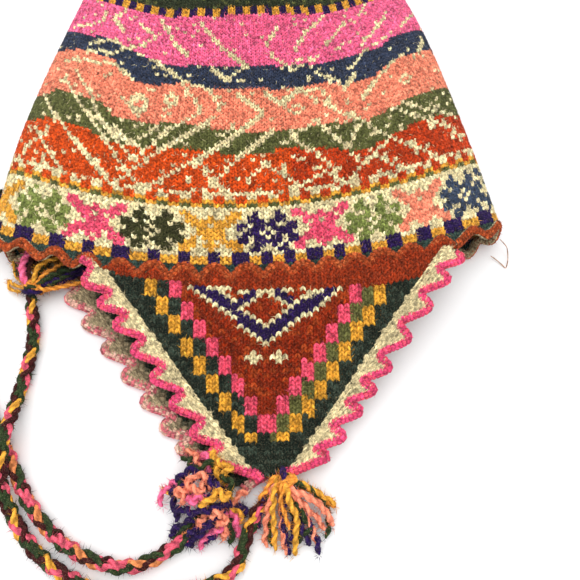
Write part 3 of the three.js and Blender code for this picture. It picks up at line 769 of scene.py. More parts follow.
crownTiers = [  # name, first and last row, stitches in a round
    ("crownStitchesLow", -3, 40, 200), ("crownStitchesMiddle", 40, 81, 200),
    ("crownStitchesHigh", 81, 97, 150), ("crownStitchesTop", 97, 116, 100),
    ("crownStitchesPeak", 116, 132, 60), ("crownStitchesTip", 132, 147, 36)]
stitchFoot = 0.26  # a stitch reaches this share of a row below its own row


def tierPart(first, last, count):
    # rounds of stitches; past the rim only those that end behind the welt are kept
    step = crownKnit["columns"] / count
    row, column = (a.ravel() for a in np.mgrid[first:last, 0:count])
    chartColumn = (column + 0.5) * step
    out, _ = rimOut(chartColumn, flapShare(chartColumn))
    keep = (stitchFoot - row) * crownKnit["rowHeight"] < out + rimWelt["cover"]
    row, column, chartColumn = row[keep], column[keep], chartColumn[keep]
    colours = yarnTable[crownChart(chartColumn, row)]

    def place(tierColumn, tierRow, lift):
        return crownPlace(tierColumn * step, tierRow, lift)

    return stitchPart(place, column + 0.5, row + 0.5, colours, knitStitch,
                      crownKnit["columnWidth"], crownKnit["rowHeight"])


for name, first, last, count in crownTiers:
    addPiece(name, tierPart(first, last, count), knitWool, ["crown"])


# The cloth under the stitches is darkened by painted shade where it shows between them, and much more by
# painted shade inside the hollow
crownGround = {"columnStep": 2, "topRow": 146, "hollowRow": 138, "hollowStep": 4.0, "sink": 0.1,
               "paintedShade": 0.6, "paintedHollowShade": 0.22, "hollowEnd": (224.0, 6.0), "mapScale": (100.0, 90.0)}
crownFuzz = {"columns": (-6, 106), "rows": (-1, 88), "count": 28000}


def crownGroundPart():
    # the cloth under the stitches, out over the crown, round the rim and back along the hollow, with
    # painted shade on it
    column = np.arange(0, crownKnit["columns"], crownGround["columnStep"]) + 1.0
    outRow = np.arange(crownGround["topRow"], -1, -1.0)
    inRow = np.arange(0, crownGround["hollowRow"], crownGround["hollowStep"])
    level = outRow[:, None] + 0 * column
    outer = crownPlace(column[None, :], level, np.full((1, 1), -crownGround["sink"]))
    angle = columnAngle(column)
    inner = crownSurface(inRow[:, None] * crownKnit["rowHeight"], angle[None, :], crownKnit["wall"])
    # painted shade: the chart's colours darkened on the outside, and darker still inside the hollow
    outColour = yarnTable[crownChart(column[None, :], outRow[:, None])] * crownGround["paintedShade"]
    inColour = yarnTable[crownChart(column[None, :], inRow[:, None])] * crownGround["paintedHollowShade"]
    tip = [crownSections[-1, 1], crownLength - crownKnit["tipGap"] / 2, crownSections[-1, 3] / 2]
    hollow = [crownSections[-1, 1], *crownGround["hollowEnd"]]
    sheet, colours = np.concatenate([outer, inner]), np.concatenate([outColour, inColour])
    return gridPart(sheet[:, ::-1], colours[:, ::-1], True, tip, hollow)


addPiece("crownGround", crownGroundPart(), groundWool, ["crown"], crownGround["mapScale"])


def crownFuzzPart(setup):
    # fibres all over the upper face and its folds
    column = dice.uniform(*setup["columns"], setup["count"])
    row = dice.uniform(*setup["rows"], setup["count"])
    colours = yarnTable[crownChart(column, row)]
    return fuzzPart(crownPlace, column, row, colours, fuzz, crownKnit["columnWidth"],
                    crownKnit["rowHeight"])


addPiece("crownFuzz", crownFuzzPart(crownFuzz), knitWool, ["crown"])
print("crown knitted")

# The welt on its rim, with a loose end of yarn

threadRoute = [  # a loose end of yarn at the right end of the rim
    (98.0, 17.0, 7.5), (100.4, 16.4, 5.0), (102.0, 15.5, 3.2), (102.5, 13.0, 1.6), (102.0, 9.6, 0.8),
    (100.9, 7.5, 0.5), (99.4, 9.3, 0.6), (97.3, 11.4, 0.9), (95.3, 12.6, 1.6)]
looseThread = {"radius": 0.2, "sides": 6, "steps": 60}
rimColumns = np.linspace(0, halfRound, 401)
rimX = crownSurface(np.zeros(len(rimColumns)), columnAngle(rimColumns), crownKnit["wall"] / 2)[:, 0]


def rimPath(count):
    # the welt's middle all round the rim, and the direction out of the cloth
    column = np.linspace(0, crownKnit["columns"], count, endpoint=False)
    angle = columnAngle(column)
    onFlap = flapShare(column)
    out, even = rimOut(column, onFlap)
    inside = crownKnit["depth"] - crownKnit["wall"] / 2 + rimWelt["flapRise"] * onFlap
    path = crownPlace(column, -out / crownKnit["rowHeight"], inside)
    above = crownPlace(column, -out / crownKnit["rowHeight"], inside + 1)
    lift = unit(above - path)
    ruffle = rimWelt["ruffle"] * even * (1 - onFlap) * (np.sin(angle) > underSine)
    path = path - lift * ruffle[:, None]
    path[:, 2] = np.maximum(path[:, 2], rimWelt["thick"] + rimWelt["clear"])
    return path, lift


def loopedFrames(path, lift, closed):
    # directions across a welt's path, the second of them square to both
    padded = np.concatenate([path[-2:], path, path[:2]]) if closed else path
    ahead = unit(np.gradient(padded, axis=0))
    ahead = ahead[2:-2] if closed else ahead
    side = unit(np.cross(ahead, lift))
    return side, np.cross(side, ahead)


# Knitted cord: how deep its stitches sit, the facing below which it shows its underside, and its core,
# whose colour is darkened as painted shade between the stitches
weltKnit = {"columns": 8, "seat": 0.45, "under": -0.2, "sides": 12, "paintedShade": 0.75, "fibreReach": (0.6, 1.9)}


def weltParts(path, lift, setup, dyes, closed):
    # knitted cord: stitches in columns round an oval section carried along the wave; its yarn changes
    # between two dyes and the third is the underside
    side, up = loopedFrames(path, lift, closed)
    ends = np.concatenate([path, path[:1]]) if closed else path
    way = pathLength(ends)
    rows, columns = int(way[-1] / setup["stitch"]), weltKnit["columns"]

    def carried(values, at):
        full = np.concatenate([values, values[:1]]) if closed else values
        return np.stack([np.interp(at, way, full[:, k]) for k in range(3)], -1)

    def place(column, row, rise):
        at = row / rows * way[-1]
        at = np.mod(at, way[-1]) if closed else np.clip(at, 0, way[-1])
        angle = 2 * np.pi * column / columns
        wide = (setup["half"] - weltKnit["seat"] + rise) * np.cos(angle)
        tall = (setup["thick"] - weltKnit["seat"] + rise) * np.sin(angle)
        point = carried(path, at) + carried(side, at) * wide[..., None] + carried(up, at) * tall[..., None]
        point[..., 2] = np.maximum(point[..., 2], tableGap)
        return point

    row, column = (a.ravel() for a in np.mgrid[0:rows, 0:columns])
    facing = np.sin(2 * np.pi * (column + 0.5) / columns)
    front = np.where((dice.random(len(row)) < setup["mottle"])[:, None], yarn(dyes[1]), yarn(dyes[0]))
    colours = np.where((facing > weltKnit["under"])[:, None], front, yarn(dyes[2]))
    girth = np.pi * (setup["half"] + setup["thick"]) / columns
    stitches = stitchPart(place, column + 0.5, row + 0.5, colours, cordStitch, girth, setup["stitch"], -1)
    ringRows = np.arange(rows if closed else rows + 1)
    ringColumns = np.arange(weltKnit["sides"]) * columns / weltKnit["sides"]
    ground = place(ringColumns[None, :], ringRows[:, None] + 0 * ringColumns, np.zeros((1, 1)))
    ground = np.concatenate([ground, ground[:1]]) if closed else ground
    tips = (None, None) if closed else (path[0], path[-1])
    # the core's colour is darkened: painted shade where it shows between the stitches
    core = gridPart(ground, yarn(dyes[0]) * weltKnit["paintedShade"], True, *tips)
    loose = fibrePart([path], [setup["thick"]], [yarn(dyes[0])], setup["fibres"], weltKnit["fibreReach"])
    return joinParts([stitches, loose]), core


path, lift = rimPath(rimWelt["steps"])
stitches, core = weltParts(path, lift, rimWelt, ("weltRust", "weltLight", "beige"), True)
threadPath = smoothRoute(threadRoute, looseThread["steps"])
thread = yarnPart(threadPath, looseThread["radius"], yarn("threadBrown"), upward,
                  sides=looseThread["sides"])
addPiece("rimWeltStitches", joinParts([stitches, thread]), rustWool, ["rim_edging"])
addPiece("rimWeltCore", core, groundWool, ["rim_edging"], rimWelt["mapScale"])
print("rim welt sewn on")

# Ear flaps

flapNear = {"topCentre": 4.5, "tipCentre": 3.8, "vertex": -76.0, "slope": 0.755, "raised": True,
            "rightBumps": (11, 3.5, -5, -15.5, -27, -37, -44.5, -51.5, -60, -67),
            "leftBumps": (10, -4.5, -12.5, -20.5, -29.5, -39, -48, -58, -65.5),
            "last": -72.5, "draw": 0.0, "tuck": 0.0, "paleEdge": -2.8, "paleYarn": "flapCream",
            "fibres": 5000, "weltRise": 0.5}
flapFar = {"topCentre": -6.0, "tipCentre": -8.6, "vertex": -79.5, "slope": 0.755, "raised": False,
           "rightBumps": (12, 2, -8, -18, -28, -38, -48, -57, -65, -70),
           "leftBumps": (16, 7, -2.5, -13.5, -24.4, -35.1, -45, -54.6, -62, -69),
           "last": -75.0, "draw": 0.08, "tuck": 1.8, "paleEdge": 0.5, "paleYarn": "beige",
           "fibres": 2500, "weltRise": 0.25}
flapKnit = {"columnWidth": 2.25, "rowHeight": 1.5, "depth": 0.9, "top": -1.2, "flapTop": -8.6, "low": 4.6,
            "reach": 72.0, "wall": 2.8, "rows": 52, "half": 31, "bandRows": 6, "bandTilt": 0.1,
            "blockRows": 4, "straight": 6.6}
# the flap's cloth is darkened by painted shade where it shows between the stitches
flapGround = {"top": 2.5, "rows": 50, "columns": 51, "rounds": 3, "sink": 0.05, "paintedShade": 0.7,
              "mapScale": (120.0, 46.0)}
flapWelt = {"half": 1.9, "thick": 1.3, "middle": 9.6, "wave": 3.3, "mottle": 0.35, "fibres": 900,
            "fade": 6, "least": 0.12, "drawFrom": -10, "top": 5.5, "tail": 1.5, "samples": 700,
            "steps": 900, "stitch": 1.5, "mapScale": (12.0, 200.0)}
farWelt = dict(flapWelt, half=2.1, mottle=0.5)
flapStrip = {"columnWidth": 1.55, "rowHeight": 1.45, "columns": 8, "start": 2.6, "lift": 0.3, "top": 8.0,
             "clear": 3.0}
# Chart of a flap: column where the blocks start, rows of the chevron, small diamonds and chance flecks
flapMotif = {"blockColumn": 14, "blockWide": 2, "darkTip": 11, "veeOuter": 12, "veeMiddle": 9,
             "veeInner": 8, "dashReach": 10, "diamondColumn": 2, "diamondRow": 21, "diamondReach": 1.6,
             "greenFleck": 0.4, "rustFleck": 0.25, "outerPale": -4.8}
wrongSide = {"own": 0.62, "carried": 0.2}


def rimLine(x):  # line of the rim in plan
    return rimSag * ((x - rimCentre) / rimHalf) ** 2


def flapCentre(flap, y):  # the middle line runs straight from the rim to the tip
    share = (y - flap["vertex"]) / -flap["vertex"]
    return flap["tipCentre"] + (flap["topCentre"] - flap["tipCentre"]) * share


def flapHalf(flap, y):  # straight sides that meet at the vertex
    return flap["slope"] * np.maximum(y - flap["vertex"], 0)


def flapHeight(flap, x, y):
    # height of the middle layer: the upper flap comes down from the rim in one easy wave,
    # and the lower one lies flat
    half = flapKnit["wall"] / 2
    if not flap["raised"]:
        return np.full(np.broadcast(x, y).shape, half)
    arch = np.sqrt(np.maximum(1 - ((x - rimCentre) / rimHalf) ** 2, 0))
    top = rimFold + (rimHeight - rimFold - half) * arch
    down = np.clip((rimLine(x) - y) / flapKnit["reach"], 0, 1)
    return flapKnit["low"] + (top - flapKnit["low"]) * (0.5 + 0.5 * np.cos(np.pi * down))


def weltReach(flap, y, right):
    # how far the welt's middle stands out from the flap's side, level with it: one swing to each bump
    counts = [np.interp(-y, -np.array(flap[key], float), np.arange(len(flap[key])))
              for key in ("rightBumps", "leftBumps")]
    phase = np.where(right, *counts)
    fade = np.clip((y - flap["last"]) / flapWelt["fade"], flapWelt["least"], 1)
    drawn = flap["tuck"] + flap["draw"] * np.maximum(flapWelt["drawFrom"] - y, 0)
    return fade * (flapWelt["middle"] - drawn + flapWelt["wave"] * np.cos(2 * np.pi * phase))


def flapPlan(flap, column, row):
    # rows follow the rim at the top and straighten towards the tip
    base = flapKnit["top"] - row * flapKnit["rowHeight"]
    x = flapCentre(flap, base) + column * flapKnit["columnWidth"]
    run = flapKnit["flapTop"] - flap["vertex"] - flapKnit["straight"]
    sink = np.clip((flapKnit["flapTop"] - base) / run, 0, 1)
    return x, base + rimLine(x) * (1 - sink) ** 2


def flapPlace(flap):
    # chart column, row and lift to a point on the flap
    def place(column, row, lift):
        x, y = flapPlan(flap, column, row)
        z = flapHeight(flap, x, y) + flapKnit["wall"] / 2 - flapKnit["depth"] + lift
        return np.stack([x, y, z], -1)
    return place


def flapEdge(flap, x, y):  # distance in from the side, level with it
    return flapHalf(flap, y) - np.abs(x - flapCentre(flap, y))


def belowWelt(x, y):  # stitches of the flap show only below the middle of the rim's welt
    out, _ = rimOut(np.interp(x, rimX, rimColumns), 1.0)
    return rimLine(x) - y > out


def flapChart(flap, column, row):
    # rust top band, blocks in steps beside a rust middle, dark stripe, then cream out to the welt
    x, y = flapPlan(flap, column + 0.5, row + 0.5)
    edge = flapEdge(flap, x, y)
    drop = row - np.round(flapKnit["bandRows"] + flapKnit["bandTilt"] * column)
    step = np.floor(np.maximum(drop, 0) / flapKnit["blockRows"])
    k = np.where(column >= 0, column + 1, -1 - column)
    into = (k - flapMotif["blockColumn"]) // flapMotif["blockWide"] + step  # blocks out from the rust
    number = np.full(column.shape, yarnNumber("flapRust"))
    number = recolour(number, into == 0, "flapPink")
    number = recolour(number, (into == 1) & (column >= 0), "flapOlive")
    number = recolour(number, (into == 1) & (column < 0), "flapGreen")
    number = recolour(number, into == 2, "flapMustard")
    number = recolour(number, (into >= 3) | (y < flap["last"] + flapMotif["darkTip"]), "flapGreen")
    # purple and cream chevron under the band
    vee, cross = k + drop, k - drop
    outer, middle, inner = (flapMotif[key] for key in ("veeOuter", "veeMiddle", "veeInner"))
    wedge = (drop >= 0) & (vee <= outer)
    number = recolour(number, wedge & (vee == outer), "cream")
    number = recolour(number, wedge & (vee >= middle) & (vee < outer), "purple")
    number = recolour(number, wedge & (vee == inner), "cream")
    number = recolour(number, wedge & (vee < inner) & (cross >= 1) & (cross <= 2), "purple")
    number = recolour(number, wedge & (vee < inner) & (cross == 0), "cream")
    number = recolour(number, (drop == 0) & (k < flapMotif["dashReach"]) & (k % 3 != 2), "cream")
    small = np.abs(k - flapMotif["diamondColumn"]) + np.abs(row - flapMotif["diamondRow"])
    number = recolour(number, small < flapMotif["diamondReach"], "cream")
    number = recolour(number, drop < 0, "bandRust")
    fleck = dice.random(number.shape)
    greenFleck = (number == yarnNumber("flapGreen")) & (fleck < flapMotif["greenFleck"])
    rustFleck = (number == yarnNumber("flapRust")) & (fleck < flapMotif["rustFleck"])
    number = recolour(recolour(number, greenFleck, "fleckGreen"), rustFleck, "fleckRust")
    pale = (edge < flap["paleEdge"]) & (drop >= 0) | (edge < flapMotif["outerPale"])
    return recolour(number, pale, flap["paleYarn"])


def dullSide(colours, number):
    # wrong side of the cloth: the colours are mixed with the strands carried behind
    mixed = colours * wrongSide["own"] + yarn("beige") * wrongSide["carried"]
    return np.where((number == yarnNumber("flapGreen"))[:, None], colours, mixed)


def stripPart(flap, colour):
    # cream strip along both slanted sides: its columns run with the side, its rows level
    parts = []
    for right in (True, False):
        side = 1 if right else -1

        def place(column, row, lift):
            y = flapStrip["top"] - row * flapStrip["rowHeight"]
            out = column * flapStrip["columnWidth"] + flapStrip["start"]
            x = flapCentre(flap, y) + side * (flapHalf(flap, y) + out)
            z = flapHeight(flap, x, y) + flapKnit["wall"] / 2 - flapKnit["depth"] + flapStrip["lift"] + lift
            return np.stack([x, y, z], -1)

        rows = int((flapStrip["top"] - flap["last"]) / flapStrip["rowHeight"])
        row, column = (a.ravel() for a in np.mgrid[0:rows, 0:flapStrip["columns"]])
        spot = place(column + 0.5, row + 0.5, np.zeros(len(row)))
        out = (column + 0.5) * flapStrip["columnWidth"] + flapStrip["start"]
        keep = out < weltReach(flap, spot[:, 1], right)
        keep &= rimLine(spot[:, 0]) - spot[:, 1] > flapStrip["clear"]
        if flap["raised"]:
            keep &= belowWelt(spot[:, 0], spot[:, 1])
        colours = np.broadcast_to(colour, (int(keep.sum()), 3))
        parts.append(stitchPart(place, column[keep] + 0.5, row[keep] + 0.5, colours, knitStitch,
                                flapStrip["columnWidth"], flapStrip["rowHeight"], -side))
    return joinParts(parts)


def flapGroundPart(flap):
    # top and bottom sheets out to the welt, joined all round
    last = (flapKnit["top"] - flap["last"]) / flapKnit["rowHeight"]
    rows = np.linspace(flapGround["top"], last, flapGround["rows"])
    share = np.linspace(-1, 1, flapGround["columns"])
    right = share[None, :] >= 0
    level = np.broadcast_to(rows[:, None], (len(rows), len(share)))
    sheets = []
    for side, drop in ((1, flapKnit["depth"] + flapGround["sink"]), (-1, flapKnit["wall"])):
        y = flapKnit["top"] - level * flapKnit["rowHeight"]
        for settle in range(flapGround["rounds"]):
            wide = flapHalf(flap, y) + weltReach(flap, y, right)
            x, y = flapPlan(flap, wide * share[None, :] / flapKnit["columnWidth"], level)
        z = flapHeight(flap, x, y) + flapKnit["wall"] / 2 - drop
        sheets.append(np.stack([x, y, np.maximum(z, tableGap)], -1)[:, ::side])
    loop = np.concatenate(sheets, 1)
    column = np.floor((loop[..., 0] - flapCentre(flap, loop[..., 1])) / flapKnit["columnWidth"]).astype(int)
    shown = flapChart(flap, column, np.broadcast_to(np.floor(rows)[:, None].astype(int), column.shape))
    # painted shade: the cloth under the flap's stitches is darkened where it shows between them
    colours = yarnTable[shown] * flapGround["paintedShade"]
    return gridPart(loop[:, ::-1], colours[:, ::-1], True, loop[0].mean(0), loop[-1].mean(0))


def flapPieces(name, flap, nodes):
    # stitches inside the welt and below the rim, the cloth under them and loose fibres over them
    row, column = (a.ravel() for a in np.mgrid[0:flapKnit["rows"], -flapKnit["half"]:flapKnit["half"]])
    x, y = flapPlan(flap, column + 0.5, row + 0.5)
    edge = flapEdge(flap, x, y)
    keep = (edge > -weltReach(flap, y, column >= 0)) & (y > flap["last"])
    if flap["raised"]:
        keep &= belowWelt(x, y)
    row, column = row[keep], column[keep]
    number = flapChart(flap, column, row)
    colours = yarnTable[number]
    strip = yarn(flap["paleYarn"])
    if not flap["raised"]:
        colours = dullSide(colours, number)
    stitch = knitStitch if flap["raised"] else purlStitch
    stitches = stitchPart(flapPlace(flap), column + 0.5, row + 0.5, colours, stitch,
                          flapKnit["columnWidth"], flapKnit["rowHeight"], -1)
    addPiece(name + "Stitches", joinParts([stitches, stripPart(flap, strip)]), knitWool, nodes)
    addPiece(name + "Ground", flapGroundPart(flap), groundWool, nodes, flapGround["mapScale"])
    count = flap["fibres"]
    some = dice.integers(0, len(row), count)
    fibreColumn = column[some] + dice.random(count)
    fibreRow = row[some] + dice.random(count)
    fibres = fuzzPart(flapPlace(flap), fibreColumn, fibreRow, colours[some], fuzz,
                      flapKnit["columnWidth"], flapKnit["rowHeight"], -1)
    addPiece(name + "Fuzz", fibres, knitWool, nodes)


flapPieces("flapNear", flapNear, ["ear_flap_near"])
flapPieces("flapFar", flapFar, ["ear_flap_far"])
print("flaps knitted")


def flapWeltPath(flap, right):
    # the welt's middle down one side of a flap
    y = np.linspace(flapWelt["top"], flap["last"] - flapWelt["tail"], flapWelt["samples"])
    out = flapHalf(flap, y) + weltReach(flap, y, np.full(y.shape, right))
    x = flapCentre(flap, y) + np.where(right, 1, -1) * out
    z = flapHeight(flap, x, y) + flap["weltRise"]
    return evenly(np.stack([x, y, z], -1), flapWelt["steps"])


def flapWeltPieces(name, flap, setup, dyes, nodes):
    # one welt down each side of the flap, with its core
    parts, cores = [], []
    for right in (True, False):
        path = flapWeltPath(flap, right)
        lift = np.broadcast_to(upward, path.shape)
        stitches, core = weltParts(path, lift, setup, dyes, False)
        parts.append(stitches)
        cores.append(core)
    addPiece(name + "Stitches", joinParts(parts), pinkWool, nodes)
    addPiece(name + "Core", joinParts(cores), groundWool, nodes, setup["mapScale"])


nearDyes = ("weltPink", "flapPink", "dullRed")
farDyes = ("dullPink", "dullRed", "flapPink")
flapWeltPieces("flapWeltNear", flapNear, flapWelt, nearDyes, ["flap_edging_near"])
flapWeltPieces("flapWeltFar", flapFar, farWelt, farDyes, ["flap_edging_far"])
print("flap welts sewn on")

# Tassels: strands of thick two-ply yarn laid one by one, each with its colour, radius, crimp and points

nearStrands = [
    ("coral", 1.15, 0.2, [(9, -72.6, 7), (9.6, -76.8, 9), (14.7, -79.1, 9),
        (20, -82.2, 7), (23.4, -86.2, 4), (24.6, -88.7, 2)]),
    ("coral", 1.0, 0.3, [(9, -72.5, 6), (9.6, -77.2, 8), (13.7, -81.2, 8),
        (17, -84.4, 6), (19.9, -87, 3.5), (21.3, -90, 2)]),
    ("mustard", 1.0, 0.3, [(10, -72, 6), (13.4, -75.1, 7),
        (17.8, -77, 6), (21.2, -79.3, 4.5), (25.7, -81.8, 2.5)]),
    ("orange", 0.85, 0.3, [(10, -71.9, 5), (12.9, -75.3, 5),
        (18.8, -78.4, 4), (22.7, -81, 3), (25.5, -82.9, 1.5)]),
    ("leafGreen", 0.9, 0.3, [(9.5, -72, 6), (11.4, -74.6, 7.5), (15.3, -76.3, 7),
        (19.3, -78.6, 5), (22.6, -83.4, 3), (23.1, -87.9, 2), (22.2, -92.4, 1.5)]),
    ("mustard", 1.05, 0.1, [(8.5, -72.2, 8), (9.4, -78.1, 10), (10.5, -82.2, 9),
        (12.3, -85.7, 7), (11.9, -91.4, 4), (11.5, -97.3, 2)]),
    ("orange", 0.7, 0.1, [(7.5, -72.2, 8), (7.7, -77.1, 10),
        (7.3, -81.2, 9.5), (8.7, -85.7, 8), (9.8, -89.6, 6)]),
    ("purple", 1.05, 0.3, [(8, -72.1, 7), (8.4, -77.4, 8), (8.2, -83.3, 7),
        (7.9, -88.6, 5), (8.5, -92.6, 3), (9.6, -97, 1.8)]),
    ("purple", 1.05, 0.3, [(9, -72.3, 5), (12.2, -80.6, 6),
        (13.7, -87.8, 4.5), (15.5, -92.3, 3), (16.5, -94.3, 2)]),
    ("purple", 1.05, 0.3, [(9.5, -72.3, 5), (14.1, -82, 6),
        (17.5, -90.2, 4), (19.2, -93.7, 2.5), (19.3, -97.3, 1.8)]),
    ("coral", 0.95, 0.3, [(9, -72.3, 5), (13.2, -81.1, 6.5),
        (15.9, -87, 5.5), (17.8, -90.6, 4), (18.4, -93.7, 2)]),
    ("leafGreen", 0.9, 0.4, [(9, -72.5, 6), (11.7, -80.2, 7.5),
        (14.7, -85.7, 6.5), (16.4, -88.8, 5), (15.1, -91.9, 3.5)]),
    ("coral", 0.95, 0.3, [(7.5, -72.3, 5), (7.3, -83.2, 6),
        (7.6, -90.8, 4), (8, -93.9, 3), (8.6, -97, 1.8)]),
    ("leafGreen", 0.9, 0.4, [(8.5, -72.2, 4), (10.7, -82.3, 5), (13, -89.1, 3.5), (13.3, -93.6, 2)]),
    ("coral", 0.95, 0.4, [(6.5, -72.4, 6), (3.9, -79.6, 8),
        (2.3, -86.3, 6), (1.7, -92, 3), (1.9, -94.6, 2)]),
    ("mustard", 0.95, 0.3, [(6.5, -72.4, 6), (5, -78.8, 9),
        (4.6, -85.1, 7.5), (4.9, -90.8, 4.5), (5, -95.6, 2)]),
    ("purple", 1.05, 0.3, [(6, -72.2, 5), (2.4, -78.4, 6), (0.1, -83.8, 4.5), (-0.8, -88.7, 2.5)]),
    ("leafGreen", 0.9, 0.4, [(6.5, -72.3, 5), (3.4, -80.8, 6), (3, -88.4, 4), (3.6, -94.2, 2)]),
    ("orange", 0.9, 0.3, [(5.5, -72.4, 6), (2, -77.6, 7), (-0.1, -81.1, 5), (-1.7, -85, 2.5)]),
    ("purple", 1.05, 0.3, [(8.5, -69.7, 4), (8, -72.3, 9), (8.9, -75.2, 9),
        (12.2, -82.3, 4), (11, -90.4, 3), (10.4, -93.9, 1.8)]),
]
farStrands = [
    ("purple", 1.15, 0.5, [(-13.7, -79, 7), (-21.8, -70.6, 11), (-25.8, -72.1, 10),
        (-28.6, -75.9, 7), (-29.3, -79.8, 4.5), (-27.4, -84.4, 3)]),
    ("purple", 1.15, 0.5, [(-11.7, -78.3, 8), (-19.2, -72, 12), (-15, -75.1, 14),
        (-13.2, -77, 14), (-16.9, -79.5, 13), (-20.4, -78.4, 12)]),
    ("purple", 1.15, 0.5, [(-10.7, -80.6, 8), (-11.3, -81.7, 11), (-14.9, -83.1, 12.5),
        (-21.7, -83.7, 11), (-26.8, -82.4, 7), (-28.1, -85.8, 4)]),
    ("purple", 1.15, 0.5, [(-10.7, -81.9, 7), (-15.1, -86.5, 10),
        (-20.1, -88, 8), (-23.4, -91.3, 4), (-22.1, -93.8, 2.5)]),
    ("purple", 1.15, 0.5, [(-11.8, -81.8, 6), (-17.2, -88.1, 8), (-21.3, -91.4, 5), (-24.9, -93, 2)]),
    ("purple", 1.15, 0.5, [(-13.9, -81.2, 5), (-22.4, -86.1, 6), (-27.9, -88.1, 4), (-30.1, -90.2, 2)]),
    ("purple", 1.15, 0.6, [(-11.8, -79.1, 7), (-16.5, -72.8, 10),
        (-22, -73.8, 12), (-25.6, -77.2, 10), (-23.9, -80.4, 10)]),
    ("purple", 1.15, 0.6, [(-10.9, -81.7, 5), (-12.6, -86.4, 7), (-15.6, -90.7, 5), (-18.7, -92.3, 2.5)]),
    ("coral", 1.0, 0.7, [(-15.1, -77.7, 12), (-16.9, -73.7, 14), (-20.8, -72.7, 14),
        (-22.6, -74.9, 14), (-20.4, -77.4, 15), (-17.6, -77, 15), (-18.1, -74.8, 15.5)]),
    ("coral", 0.95, 0.6, [(-18.8, -77.7, 13), (-23.2, -76.6, 13),
        (-26.8, -77.7, 11), (-24.6, -79.2, 12), (-24.2, -81.4, 11)]),
    ("coral", 0.95, 0.6, [(-17.5, -75.4, 9), (-20.9, -67.6, 8), (-23.1, -63.4, 5), (-26.1, -63.8, 3.5)]),
    ("coral", 1.0, 0.8, [(-11.5, -82, 9), (-14.9, -85.1, 12),
        (-12, -84.3, 13), (-11.2, -86.7, 11), (-14.2, -88.2, 9)]),
    ("coral", 1.0, 0.8, [(-10.8, -83.6, 6), (-12.5, -88.2, 7), (-11.3, -89.9, 5), (-12.9, -92, 3)]),
    ("coral", 1.0, 0.8, [(-11.8, -83.6, 6), (-17.8, -85.6, 11), (-19.9, -86.4, 10), (-17.1, -87.5, 9)]),
    ("pink", 1.05, 0.4, [(-19.2, -78.3, 10), (-27, -74.1, 8),
        (-31.4, -75.6, 5.5), (-34.3, -79.6, 3), (-32.9, -80.6, 2.5)]),
    ("pink", 1.1, 0.4, [(-15.7, -75.4, 8), (-16.9, -69.6, 8),
        (-17.6, -65.2, 7), (-20.5, -65.8, 6), (-21, -64.4, 5)]),
    ("pink", 1.05, 0.4, [(-16.8, -80.4, 13), (-19.1, -79.1, 14), (-20.9, -80.9, 14), (-22.8, -79.4, 13)]),
    ("pink", 1.05, 0.4, [(-10.7, -83.7, 7), (-13, -88.8, 7), (-17.5, -90.6, 5), (-20.2, -94.5, 2)]),
    ("mustard", 1.0, 0.5, [(-11.6, -75.6, 9), (-13.5, -72, 11), (-15.3, -67.9, 9),
        (-16.3, -64, 6), (-13.6, -68.2, 11), (-9.6, -69.8, 11)]),
    ("mustard", 1.05, 0.5, [(-19.1, -82.2, 13), (-14.7, -79.8, 15),
        (-13.3, -78, 15), (-10.5, -79.9, 15), (-8.8, -78.8, 13)]),
    ("mustard", 0.95, 0.5, [(-10.7, -74.7, 9), (-12.4, -73.1, 12), (-9.5, -70.9, 12), (-11.7, -68.1, 10)]),
    ("mustard", 0.9, 0.5, [(-15.8, -80.8, 6), (-28.7, -77.2, 6), (-33.5, -75.6, 3.5)]),
    ("leafGreen", 0.95, 0.6, [(-13.6, -74.6, 9), (-15.7, -68, 10), (-18.4, -69.5, 11),
        (-21.7, -69.7, 9), (-24.3, -66.2, 6), (-26.7, -65.1, 4)]),
    ("leafGreen", 0.95, 0.6, [(-10.6, -80.2, 9), (-9, -76.8, 11), (-9.4, -74.6, 12), (-12.4, -72.7, 12)]),
    ("leafGreen", 0.95, 0.5, [(-10.9, -83.6, 5), (-9.3, -89.1, 5), (-9.6, -93, 2)]),
    ("leafGreen", 0.95, 0.5, [(-22.2, -79, 9), (-25.7, -75.3, 10), (-26.4, -73.8, 9), (-24.3, -72.6, 10)]),
    ("leafGreen", 0.95, 0.5, [(-15.7, -82.6, 6), (-23.3, -86.9, 6), (-28.6, -91.1, 2)]),
    ("mustard", 0.95, 0.5, [(-9.8, -81.9, 7), (-6.9, -83.7, 6), (-6.1, -87.2, 3)]),
    ("coral", 0.95, 0.5, [(-9.8, -81.5, 7), (-7.3, -79.3, 8), (-4.6, -77.2, 5)]),
    ("purple", 1.1, 0.5, [(-9.4, -81.4, 6), (-6.9, -81.9, 6), (-5.2, -83.6, 3), (-5.5, -85.8, 2)]),
    ("pink", 1.0, 0.5, [(-9.4, -82.3, 6), (-7.8, -86.5, 6), (-7.6, -90.8, 2)]),
]
